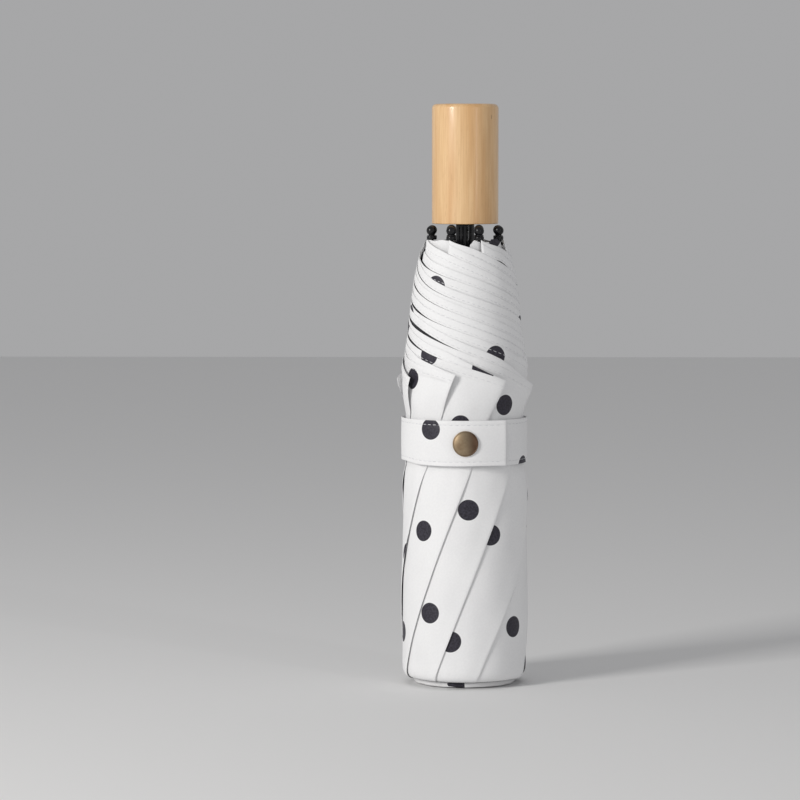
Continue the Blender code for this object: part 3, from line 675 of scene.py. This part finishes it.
# where a folded edge leaves the even slant: degrees, and from and to how deep, in mm
EDGE_SHIFT = {1: (-5.0, 5.0, 85.0), 2: (-10.0, 88.0, 152.0), 4: (-4.0, 30.0, 110.0),
              6: (3.0, 40.0, 140.0)}
RISE_REACH = 90.0 * MM         # how far down a lifted corner still pulls its edge


def edge_turn(flap, z):
    """The turn at which one flap's folded edge lies, at a height."""
    rise = CORNER_RISE.get(flap, 0.0) * MM
    depth = max(0.0, CORNER_Z + rise - z)
    shift, start, end = EDGE_SHIFT.get(flap, (0.0, 0.0, 1.0))
    turn = CORNER_TURN - EDGE_SLOPE * depth
    turn += EDGE_SLOPE * rise * smooth_step(depth, 0.0, RISE_REACH)
    return turn + shift * smooth_step(depth, start * MM, end * MM)


print("hems drop", round(HEM_DROP / MM * TIP_STEP, 2), "mm from one flap to the next")

# %% [markdown]
# Cloth is never a perfect cylinder. Beside the strap it puckers, and everywhere it has slow
# dents. They depend only on the place on the bundle, so all eight layers share them and never
# cut through each other.

# %% Dents and puckers
strap_low, strap_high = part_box("strap_band")
STRAP_MIDDLE = (strap_low.z + strap_high.z) / 2
STRAP_WIDTH = strap_high.z - strap_low.z
PUCKER = 0.55 * MM
SLOW_DENT = 0.45 * MM
FINE_DENT = 0.16 * MM


def pucker(angle, z):
    """Short upright creases above and below the strap, fading within a few centimetres."""
    gap = max(strap_low.z - z, z - strap_high.z, 0.0)
    outside = smooth_step(gap, 0.0, 3.0 * MM) * math.exp(-gap / (10.0 * MM))
    crease = noise.noise(Vector((math.sin(angle) * 5.5, math.cos(angle) * 5.5, z * 9.0 + 4.0)))
    return crease * PUCKER * outside


def dent(azimuth, z):
    """How far the bundle's surface is pushed out at a place, in metres."""
    angle = math.radians(azimuth)
    spot = Vector((math.sin(angle), -math.cos(angle), z * 14.0))
    held = smooth_step(abs(z - STRAP_MIDDLE), 11.0 * MM, 22.0 * MM)
    foot = smooth_step(z, 2.0 * MM, 12.0 * MM)
    slow = noise.noise(spot * 1.3) * SLOW_DENT * (0.25 + 0.75 * held)
    fine = noise.noise(spot * 4.1 + Vector((3.0, 1.0, 7.0))) * FINE_DENT * held
    return (slow + fine) * foot + pucker(angle, z)


print("strap from", round(strap_low.z / MM, 1), "to", round(strap_high.z / MM, 1), "mm")

# %% [markdown]
# `flap_radius` takes a turn from the rib's tip and a height, and gives the radius on the outer
# or the inner leaf. Two things are added to the plain spiral: the folded edge is lifted off the
# flap below, and the corner stands out.

# %% One point of a flap
CORNER_LIFT = 2.2 * MM
LIFT_REACH = 9.0 * MM
EDGE_LIFT = 0.5 * MM
LEAF_GAP = 0.26 * MM
DEGREE = math.pi / 180


def flap_radius(rib, turn, z, leaf):
    limit = last_turn(z)
    radius = outline_radius(z) - LAYER_STEP * (limit - turn) / TIP_STEP
    radius += dent(rib + turn, z)
    from_edge = max(0.0, limit - turn) * WRAP_RADIUS * DEGREE
    if z < CORNER_Z + 12 * MM:
        free = 1.0 - smooth_step(from_edge, 0.0, LIFT_REACH)
        held = smooth_step(abs(z - STRAP_MIDDLE), 13.0 * MM, 26.0 * MM)
        radius += EDGE_LIFT * free * held
    across = (CORNER_TURN - turn) * WRAP_RADIUS * DEGREE
    down = z - CORNER_Z
    reach = math.hypot(across * 0.8, down * (0.75 if down < 0 else 1.2))
    radius += CORNER_LIFT * math.exp(-(reach / LIFT_REACH) ** 2)
    return radius - leaf * LEAF_GAP


def bundle_point(azimuth, z, radius):
    angle = math.radians(azimuth)
    return Vector((radius * math.sin(angle), -radius * math.cos(angle), z))


print("corner lift", round(CORNER_LIFT / MM, 1), "mm")

# %% [markdown]
# A flap's two leaves are one piece of cloth, folded at the free edge. So each flap is one grid:
# its columns run out along the outer leaf, round the fold, and back along the inner leaf. Its
# rows run down from the hem, and are close together at the hem and at the foot.
#
# The inner leaf's hem stands above the outer leaf's by about a hem's width. Where it stands
# higher, the black coating shows as a thin dark line or a gape.

# %% Rows, columns and the inner leaf's hem
OUTER_COLUMNS = 150
FOLD_COLUMNS = 6
INNER_COLUMNS = 90
HEM_ROWS = (0.0, 0.06, 0.25, 0.8, 1.8, 2.8, 3.3, 3.5, 3.7, 4.2, 4.6, 4.8, 5.6, 7.5)
FOOT_ROWS = (7.0, 4.6, 3.0, 2.0, 1.4, 0.9, 0.6, 0.4, 0.2, 0.0)
BODY_ROWS = 66
ROWS = len(HEM_ROWS) + BODY_ROWS + len(FOOT_ROWS)
HEM_START = 0.7 * MM
HEM_HOLD = 1.7 * MM            # near the tips the hem stays up, as it is held by the next tip
HEM_RIPPLE = 0.45 * MM
GAPE_PEAK = 0.35               # how far along a gape it is widest, as a share
# where the inner leaf's hem gapes: from and to (degrees), how far (mm)
GAPES = {5: (22.0, 70.0, 0.9), 2: (160.0, 214.0, 0.9), 1: (192.0, 296.0, 1.5),
         0: (240.0, 304.0, 1.0), 7: (62.0, 92.0, 0.9), 3: (120.0, 150.0, 0.5)}
# where a hem sags below the even spiral: from, fullest, back again by (degrees), how far (mm)
SAGS = {5: (4.0, 30.0, 190.0, 4.6), 4: (50.0, 120.0, 230.0, 3.2),
        1: (235.0, 325.0, 700.0, 1.8)}


def peek(flap, turn):
    """How far the inner leaf's hem stands above the outer leaf's, in metres."""
    height = HEM_WIDTH / MM + 0.12 + 0.22 * math.sin(math.radians(turn * 1.7 + flap * 77.0))
    if flap in GAPES:
        start, end, extra = GAPES[flap]
        height += extra * hump(turn, start, start + GAPE_PEAK * (end - start), end)
    settle = smooth_step(CORNER_TURN - turn, 0.0, 62.0)
    return height * settle * MM


def hem_height(flap, turn, leaf):
    """The height of a leaf's hem: the even slant, with all that makes each hem its own."""
    z = MOUTH_Z + HEM_START - HEM_DROP * turn
    z += HEM_HOLD * smooth_step(turn, 0.0, 40.0) - HEM_HOLD * smooth_step(turn, 70.0, 190.0)
    z -= HEM_START * smooth_step(turn, 90.0, 200.0)
    ripple = HEM_RIPPLE * math.sin(math.radians(turn * 2.3 + flap * 101.0))
    ripple *= smooth_step(turn, 0.0, 30.0) * smooth_step(CORNER_TURN - turn, 0.0, 30.0)
    if flap in SAGS:
        *places, depth = SAGS[flap]
        z -= depth * MM * hump(turn, *places)
    z += CORNER_RISE.get(flap, 0.0) * MM * smooth_step(turn, 325.0, CORNER_TURN)
    return z + ripple + (peek(flap, turn) if leaf else 0.0)


def column_place(column):
    """(leaf, share of the wrap) for a column: out along the outer leaf, then back."""
    if column <= OUTER_COLUMNS:
        return 0.0, column / OUTER_COLUMNS
    if column <= OUTER_COLUMNS + FOLD_COLUMNS:
        return (column - OUTER_COLUMNS) / FOLD_COLUMNS, 1.0
    return 1.0, 1.0 - (column - OUTER_COLUMNS - FOLD_COLUMNS) / INNER_COLUMNS


def row_drop(row, length):
    """How far a row lies below the hem, on a column of this length."""
    if row < len(HEM_ROWS):
        return HEM_ROWS[row] * MM
    if row >= len(HEM_ROWS) + BODY_ROWS:
        return length - FOOT_ROWS[row - len(HEM_ROWS) - BODY_ROWS] * MM
    share = (row - len(HEM_ROWS) + 1) / (BODY_ROWS + 1)
    start, end = HEM_ROWS[-1] * MM, length - FOOT_ROWS[0] * MM
    return start + (end - start) * share


print("each flap has", ROWS, "rows")

# %% [markdown]
# The print follows the cloth, so it needs the cloth's own measure: how far in from the folded
# edge a point lies, and how far down the grain below the hem. The hem's length is added up
# degree by degree, because the bundle narrows towards the mouth.

# %% The print's measure
GRAIN = math.radians(21.3)
# where each flap's first spot lies: down the grain from the hem, in from the folded edge (mm)
FIRST_SPOT = {0: (0.2, 42.3), 1: (17.4, 17.8), 2: (5.5, 53.6), 3: (22.8, 17.0),
              4: (48.9, 21.9), 5: (6.2, 41.0), 6: (20.0, 20.0), 7: (8.3, 26.0)}
INNER_FIRST_SPOT = {0: (0.0, 45.0)}
INNER_SPOT_DOWN = 16.5          # the same for the inner leaf of the other flaps
PULLED = {2: 0.989, 3: 0.977}   # two flaps are pulled a little longer down the grain
HEM_DEGREES = 464               # more than the wrap, to measure beyond the tip
HEM_SLANT = 1.0535              # a slanting hem is longer than the level way round
HEM_LENGTHS = [0.0]             # metres from the corner, for each whole degree back from it
for degree in range(HEM_DEGREES):
    radius_there = outline_radius(CORNER_Z + HEM_DROP * degree)
    HEM_LENGTHS.append(HEM_LENGTHS[-1] + radius_there * DEGREE * HEM_SLANT)


def hem_length(turn):
    back = CORNER_TURN - turn
    if back <= 0.0:
        return back * HEM_LENGTHS[1]
    whole = min(int(back), len(HEM_LENGTHS) - 2)
    step = HEM_LENGTHS[whole + 1] - HEM_LENGTHS[whole]
    return HEM_LENGTHS[whole] + step * (back - whole)


def print_point(flap, turn, z, leaf):
    """Where a point lies on the printed cloth, down the grain and in from the folded edge."""
    down = (hem_height(flap, turn, leaf) - z) / (1.0 + EDGE_SLOPE * HEM_DROP)
    inwards = hem_length(turn + EDGE_SLOPE * down) * (1.0 if leaf < 0.5 else -1.0)
    start = FIRST_SPOT[flap]
    if leaf > 0.5:
        start = INNER_FIRST_SPOT.get(flap, (INNER_SPOT_DOWN, start[1]))
    down *= PULLED.get(flap, 1.0)
    return down / math.cos(GRAIN) - start[0] * MM, inwards - start[1] * MM


print("hem of a flap:", round(hem_length(0.0) / MM), "mm")

# %% [markdown]
# At each height the folded edge is at another angle, so a column's angle is a share of the
# wrap at its own height, and the hem meets the corner exactly. The hem is two layers thicker
# than the cloth, and its stitches press it flat.

# %% Build the flaps
CLOTH_THICKNESS = 0.10 * MM
STITCH_LINE = 3.5 * MM
FLAP_COLUMNS = OUTER_COLUMNS + FOLD_COLUMNS + INNER_COLUMNS
HEM_BULGE = 0.28
STITCH_PRESS = 0.10
INNER_HEM_SHARE = 0.7          # the inner leaf's hem is pressed flatter
FOLD_BULGE = 0.35              # degrees that the fold stands out beyond its leaves


def cloth_grid(name, columns, rows, place, closed=False):
    """A sheet on a grid. place takes a share across and down, and gives the point and where
    it lies on the "print" map and on the "hem" map."""
    shape = bmesh.new()
    bmesh.ops.create_grid(shape, x_segments=columns, y_segments=rows, size=1.0)
    print_map = shape.loops.layers.uv.new("print")
    hem_map = shape.loops.layers.uv.new("hem")
    maps = {}
    for vert in shape.verts:
        point, *maps[vert] = place((vert.co.x + 1.0) / 2.0, (1.0 - vert.co.y) / 2.0)
        vert.co = point
    for face in shape.faces:
        for loop in face.loops:
            loop[print_map].uv, loop[hem_map].uv = maps[loop.vert]
    if closed:
        bmesh.ops.remove_doubles(shape, verts=shape.verts, dist=MERGE_REACH)
    return put_in_scene(name, shape, CLOTH, 60.0)


def thicken(piece, thickness, back=None):
    """Gives a sheet its thickness towards its back, which may have its own material."""
    solidify = piece.modifiers.new("thickness", "SOLIDIFY")
    solidify.thickness = thickness
    solidify.offset = -1.0
    if back:
        piece.data.materials.append(back)
        solidify.material_offset = 1
    return piece


def hem_bulge(drop, leaf):
    """How far the folded hem stands out at a distance below its edge."""
    lip = smooth_step(drop, -0.3 * MM, 0.25 * MM)
    step = 1.0 - smooth_step(drop, HEM_WIDTH - 0.3 * MM, HEM_WIDTH + 0.3 * MM)
    pressed = STITCH_PRESS * math.exp(-((drop - STITCH_LINE) / (0.3 * MM)) ** 2)
    return (HEM_BULGE * lip - pressed) * step * MM * (1.0 if leaf < 0.5 else INNER_HEM_SHARE)


def build_flap(flap):
    rib = TIP_AZIMUTH + TIP_STEP * flap

    def place(across, down):
        leaf, share = column_place(round(across * FLAP_COLUMNS))
        first = TIP_STEP * leaf
        hem = hem_height(flap, first + (CORNER_TURN - first) * share, leaf)
        drop = row_drop(round(down * (ROWS - 1)), hem - FLAP_FOOT_Z)
        z = hem - drop
        turn = first + (edge_turn(flap, z) - first) * share
        radius = flap_radius(rib, turn, z, leaf) + hem_bulge(drop, leaf)
        fold = math.sin(math.pi * leaf) * FOLD_BULGE
        return (bundle_point(rib + turn + fold, z, radius), print_point(flap, turn, z, leaf),
                (turn * DEGREE * WRAP_RADIUS, drop))

    sheet = cloth_grid(f"canopy_flap_{flap + 1}", FLAP_COLUMNS, ROWS - 1, place)
    return thicken(sheet, CLOTH_THICKNESS, LINING)


flaps = [build_flap(index) for index in range(TIP_COUNT)]
print("flaps:", len(flaps), "of", len(flaps[0].data.polygons), "faces")

# %% [markdown]
# ### Hem stitches
# A lockstitch shows as a row of short raised dashes. Each dash is a stretched little ball with
# only twenty faces, as there are over a thousand, and one mesh holds all of a flap's dashes.

# %% Stitch helper
STITCH_PITCH = 2.7 * MM
HEM_CIRCLE = 28.5 * MM          # a middling radius, for stepping round the bundle
STITCH_ENDS = (0.12, 0.88)      # where a dash starts and ends, as shares of the pitch


def add_stitch(shape, start, end, outward, width):
    """One dash of thread from start to end, standing a little off the cloth."""
    along = end - start
    side = outward.cross(along).normalized()
    turn = Matrix((along.normalized(), side, outward)).transposed().to_4x4()
    size = Matrix.Diagonal((along.length / 2, width, width * 0.75, 1.0))
    middle = (start + end) / 2 + outward * width * 0.3
    bmesh.ops.create_icosphere(shape, subdivisions=1, radius=1.0,
                               matrix=Matrix.Translation(middle) @ turn @ size)


def sew_row(shape, first, last, step, width, place):
    """A row of stitches round the bundle. place gives the cloth's point at an angle."""
    for index in range(int((last - first) / step)):
        start, end = (place(first + (index + share) * step) for share in STITCH_ENDS)
        outward = Vector((start.x, start.y, 0.0)).normalized()
        add_stitch(shape, start, end, outward, width)


def stitch_flap(flap):
    """The outer hem's row and the row that shows on the inner leaf's strip."""
    shape = bmesh.new()
    rib = TIP_AZIMUTH + TIP_STEP * flap

    def hem_point(turn, leaf):
        z = hem_height(flap, turn, leaf) - STITCH_LINE
        radius = flap_radius(rib, turn, z, leaf) + hem_bulge(STITCH_LINE, leaf)
        return bundle_point(rib + turn, z, radius + CLOTH_THICKNESS * leaf)

    for leaf, first in ((0.0, 3.0), (1.0, 50.0)):
        sew_row(shape, first, CORNER_TURN - 2.0, STITCH_PITCH / HEM_CIRCLE / DEGREE,
                0.15 * MM, lambda turn: hem_point(turn, leaf))
    return put_in_scene(f"hem_stitches_{flap + 1}", shape, THREAD)


hem_stitches = [stitch_flap(index) for index in range(TIP_COUNT)]
print("stitches:", sum(len(piece.data.polygons) for piece in hem_stitches) // 20)

# %% [markdown]
# ### Cloth in the mouth
# Between the rib tips the cloth of neighbouring gores is bunched in small tucks, and it dips in
# front so that the runner shows. One ring of cloth does this: its top edge rises and falls, and
# it leans in and out a little. At the other end a pleated ring turns in at the crown.

# %% Mouth and crown cloth
RING_COLUMNS = 240
RING_WIDTH = 20.0 * MM
MOUTH_RING_RADIUS = 20.0 * MM
MOUTH_FOOT_Z = MOUTH_Z - 13.0 * MM
# (azimuth, depth of the edge below the tips' feet in mm, push outwards in mm)
MOUTH_TUCKS = [(-180, 0.2, 0.0), (-157, 0.0, 0.2), (-135, 1.2, -0.4), (-112, 0.0, 0.2),
               (-90, 0.5, 0.0), (-67, -0.3, 0.2), (-52, 0.3, -0.2), (-36, -0.3, 0.4),
               (-24, 0.0, 0.1), (-17, 3.0, -0.4), (-8, 7.5, -0.6), (4, 7.5, -0.6),
               (8, 1.6, 0.6), (13, -0.2, 1.2), (19, 0.5, 1.0), (24, 1.2, 0.1),
               (30, 0.8, 0.9), (36, 0.8, 1.1), (41, -0.6, 0.5), (52, -0.9, 0.5),
               (60, 0.6, 0.7), (67, 2.4, 0.0), (74, 3.2, -0.4), (84, 2.8, -0.4),
               (90, 0.6, 0.4), (112, 0.0, 0.2), (135, 1.0, -0.4), (157, 0.0, 0.2),
               (180, 0.2, 0.0)]
# (share of the way in under the crown, height in mm, radius in mm)
CROWN_LINE = [(0.0, 5.4, 25.6), (0.3, 2.6, 26.2), (0.5, 1.1, 26.0), (0.6, 0.4, 25.3),
              (0.75, 0.25, 21.0), (1.0, 0.35, 14.0)]


def read_line(line, place, eased):
    """The values at a place on a line of points, each a place and its values."""
    for (s0, *v0), (s1, *v1) in zip(line, line[1:]):
        if place <= s1:
            break
    share = smooth_step(place, s0, s1) if eased else (place - s0) / (s1 - s0)
    return [a + (b - a) * share for a, b in zip(v0, v1)]


def ring_sheet(name, rows, place, spot):
    """A closed ring of cloth. place gives (azimuth, z, radius) for a share round and down."""
    def ring_point(across, down):
        azimuth, z, radius = place(across, down)
        along = azimuth * DEGREE * radius
        return (bundle_point(azimuth, z, radius), (along - spot[0], z - spot[1]),
                (along, down * RING_WIDTH))

    sheet = cloth_grid(name, RING_COLUMNS, rows, ring_point, closed=True)
    return thicken(sheet, CLOTH_THICKNESS, LINING)


def mouth_place(across, down):
    azimuth = -180.0 + 360.0 * across
    dip, push = read_line(MOUTH_TUCKS, azimuth, True)
    top = MOUTH_Z + (0.4 - dip) * MM
    z = top + (MOUTH_FOOT_Z - top) * down ** 1.6
    lean = push * (1.0 - down) ** 2 - 0.25 * math.exp(-(down * 30.0) ** 2)
    return azimuth, z, MOUTH_RING_RADIUS + lean * MM


def crown_place(across, down):
    azimuth = 360.0 * across
    z, radius = read_line(CROWN_LINE, down, False)
    pleat = math.sin(math.radians(azimuth * 8.0)) * (0.25 + 0.15 * math.sin(across * 40.0))
    return azimuth, (z + abs(pleat) * 0.4) * MM, (radius + pleat * (1.0 - down)) * MM


mouth_cloth = ring_sheet("mouth_cloth", 16, mouth_place, (17.3 * MM, MOUTH_Z + 2.4 * MM))
crown_cloth = ring_sheet("crown_tuck", 24, crown_place, (159.7 * MM, 0.0))
print("mouth and crown cloth are in")

# %% [markdown]
# ## The strap
# A strap is a doubled strip of the same cloth, sewn along both edges. It goes once round the
# bundle, and its loose end laps over its start, where the snap holds it. The loose end bends
# open, so it is a second piece.

# %% Strap helpers
WAIST_RADIUS = 30.75 * MM
STRAP_THICKNESS = 0.8 * MM
STRAP_CLOTH = 0.45 * MM
STRAP_CIRCLE = 32.0 * MM
STRAP_COLUMN = 1.5              # degrees from one column of points to the next
BAND_START, BAND_END, BAND_RISE = -30.0, 310.0, 1.2 * MM
TAIL_END, TAIL_RISE = 37.3, 0.95 * MM
FREE_FROM = 376.0               # beyond the snap the loose end stands straight off the bundle
SEAM_AZIMUTH = 262.0            # where the band ends and the tail's piece begins
STRAP_EDGE = (0.0, 0.05, 0.2, 0.5, 1.0, 1.7, 2.0, 2.2, 2.4, 2.8, 4.0, 7.0)
STRAP_STITCH = 2.2 * MM
STRAP_PITCH = 2.9 * MM
EDGE_ROUND = 0.30 * MM
STRAP_BIAS = math.radians(3.5)  # the print lies a little askew on the strap
STRAP_FIRST_SPOT = (328.0, 132.6 * MM)


def strap_face(azimuth):
    """Radius of the strap's outer face at a place on its spiral, from the band's start on."""
    if azimuth <= BAND_END:
        share = (azimuth - BAND_START) / (BAND_END - BAND_START)
        return WAIST_RADIUS + BAND_RISE * share + STRAP_THICKNESS
    share = (azimuth - BAND_END) / (TAIL_END + 360.0 - BAND_END)
    radius = WAIST_RADIUS + BAND_RISE + TAIL_RISE * share + STRAP_THICKNESS
    free = max(0.0, azimuth - FREE_FROM) * DEGREE
    return radius * (1.0 + 0.7 * (1.0 / math.cos(free) - 1.0))


def strap_shape(inset):
    """How far the face stands above or below its even height, at a distance from an edge."""
    rounded = EDGE_ROUND * math.exp(-inset / (0.12 * MM))
    pillow = 0.10 * MM * smooth_step(inset, 2.4 * MM, 9.0 * MM)
    groove = 0.12 * MM * math.exp(-((inset - STRAP_STITCH) / (0.28 * MM)) ** 2)
    return pillow - rounded - groove


def strap_lift(azimuth):
    """The lower edge rides up over a fold at the left side."""
    place = azimuth - 360.0 if azimuth > 180.0 else azimuth
    return 1.3 * MM * smooth_step(-place, 42.0, 72.0) * smooth_step(place, -125.0, -85.0)


def strap_height(azimuth, inset_low):
    """The height of a place that lies this far above the strap's lower edge."""
    ripple = 0.12 * MM * math.sin(math.radians(azimuth * 5.0))
    low = strap_low.z + strap_lift(azimuth) + ripple
    return low + (strap_high.z - low) * inset_low / STRAP_WIDTH


def strap_print(azimuth, z):
    x = (azimuth - STRAP_FIRST_SPOT[0]) * DEGREE * STRAP_CIRCLE
    y = z - STRAP_FIRST_SPOT[1]
    return (x * math.cos(STRAP_BIAS) - y * math.sin(STRAP_BIAS),
            x * math.sin(STRAP_BIAS) + y * math.cos(STRAP_BIAS))


print("strap is", round(STRAP_WIDTH / MM, 1), "mm wide")

# %% Build the strap


def build_strap(name, start, end, round_end):
    width = STRAP_WIDTH / MM
    upper = [width - inset for inset in reversed(STRAP_EDGE)]
    rows = [inset * MM for inset in (*STRAP_EDGE, width / 2, *upper)]

    def place(across, down):
        azimuth = start + (end - start) * across
        inset = rows[round((1.0 - down) * (len(rows) - 1))]
        from_edge = min(inset, rows[-1] - inset)
        from_end = (end - azimuth) * DEGREE * STRAP_CIRCLE if round_end else 1.0
        z = strap_height(azimuth, inset)
        radius = strap_face(azimuth) + strap_shape(from_edge)
        radius -= EDGE_ROUND * math.exp(-from_end / (0.15 * MM))
        return (bundle_point(azimuth, z, radius), strap_print(azimuth, z),
                (azimuth * DEGREE * STRAP_CIRCLE, from_edge))

    columns = int((end - start) / STRAP_COLUMN)
    return thicken(cloth_grid(name, columns, len(rows) - 1, place), STRAP_CLOTH)


def stitch_strap(name, start, end):
    shape = bmesh.new()

    def edge_point(azimuth, inset):
        radius = strap_face(azimuth) + strap_shape(STRAP_STITCH)
        return bundle_point(azimuth, strap_height(azimuth, inset), radius)

    for inset in (STRAP_STITCH, STRAP_WIDTH - STRAP_STITCH):
        sew_row(shape, start, end, STRAP_PITCH / STRAP_CIRCLE / DEGREE, 0.17 * MM,
                lambda azimuth: edge_point(azimuth, inset))
    return put_in_scene(name, shape, THREAD)


band = build_strap("strap_around", BAND_START, SEAM_AZIMUTH, False)
band_stitches = stitch_strap("strap_stitches", BAND_START + 0.5, SEAM_AZIMUTH)
tail = build_strap("strap_loose_end", SEAM_AZIMUTH, TAIL_END + 360.0, True)
tail_stitches = stitch_strap("loose_end_stitches", SEAM_AZIMUTH, TAIL_END + 359.5)
print("strap:", len(band.data.polygons) + len(tail.data.polygons), "faces")

# %% [markdown]
# ### Snap cap
# The cap is pressed brass: a shallow dome, a fine groove and a rolled rim. It is turned flat
# and then stood up, so that its axis points out of the strap.

# %% Snap cap
cap_low, cap_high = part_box("snap_cap")
SNAP_AZIMUTH = 0.5
CAP_RADIUS = (cap_high.z - cap_low.z) / 2
CAP_HEIGHT = 1.6 * MM
CAP_RIM = 0.32 * MM


def build_cap():
    flat = CAP_RADIUS - 2.1 * CAP_RIM
    dome = [(flat * share, CAP_HEIGHT - 0.95 * MM * share ** 2.2)
            for share in (0.0, 0.15, 0.3, 0.45, 0.6, 0.72, 0.83, 0.92, 1.0)]
    groove = [(flat + 0.12 * MM, CAP_RIM * 1.35)]
    rim = arc_points((CAP_RADIUS - CAP_RIM, CAP_RIM), CAP_RIM, 130, -90, 10)
    back = [(CAP_RADIUS - 1.2 * MM, 0.0), (0.0, 0.05 * MM)]
    shape = bmesh.new()
    spin_profile(shape, dome + groove + rim + back, 72)
    centre_z = (cap_low.z + cap_high.z) / 2
    outward = bundle_point(SNAP_AZIMUTH, 0.0, 1.0)
    seat = -cap_low.y / math.cos(math.radians(SNAP_AZIMUTH)) - CAP_HEIGHT
    turn = Vector((0.0, 0.0, 1.0)).rotation_difference(outward).to_matrix().to_4x4()
    shape.transform(Matrix.Translation(bundle_point(SNAP_AZIMUTH, centre_z, seat)) @ turn)
    return put_in_scene("snap_dome", shape, BRASS)


snap_dome = build_cap()
print("snap cap:", round(2 * CAP_RADIUS / MM, 1), "mm across")

# %% [markdown]
# ## Attach the pieces
# The cloth, the hem stitches, the band and its stitches ride on the frame, and the snap dome
# rides on the strap's tail; the frame nodes they replace are hidden.
# The loose end and its stitches are only baked in place. A flap is the outer third of one gore:
# 0.40 m along the hem for its two leaves, and 0.24 m down.

for flap_piece, stitches in zip(flaps, hem_stitches):
    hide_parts("canopy")
for ring_piece, flat in ((mouth_cloth, (0.126, 0.014)), (crown_cloth, (0.163, 0.016))):
    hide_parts("canopy")
for strap_piece, node, stitches, length in ((band, "strap_band", band_stitches, 0.163),
                                            (tail, "strap_tail", tail_stitches, 0.077)):
    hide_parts(node)
for cloth_piece in (*flaps, *hem_stitches, mouth_cloth, crown_cloth, band, band_stitches):
    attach(cloth_piece, "frame")
for tail_piece in (tail, tail_stitches):
    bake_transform(tail_piece)
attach(snap_dome, "strap_tail")
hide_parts("snap_cap")

# %% [markdown]
# ## Finish
# The other frame nodes keep their shape and get their finish.

# %% Finish the frame's own nodes
FINISH = {name: finish for finish, names in (
    (BLACK_PLASTIC, ("notch", "runner", "crown_cap", "handle_insert")),
    (BRIGHT_STEEL, ("notch_wire", "runner_wire", "handle_pin", "top_catch")),
    (BRASS, ("snap_stud", "snap_socket"))) for name in names}
shown = {name: node for name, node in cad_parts.items() if not node.hide_render}
for node_name, node in shown.items():
    node.data.materials.clear()
    node.data.materials.append(FINISH.get(node_name, RIB_STEEL))
print(len(shown), "frame nodes keep their shape")
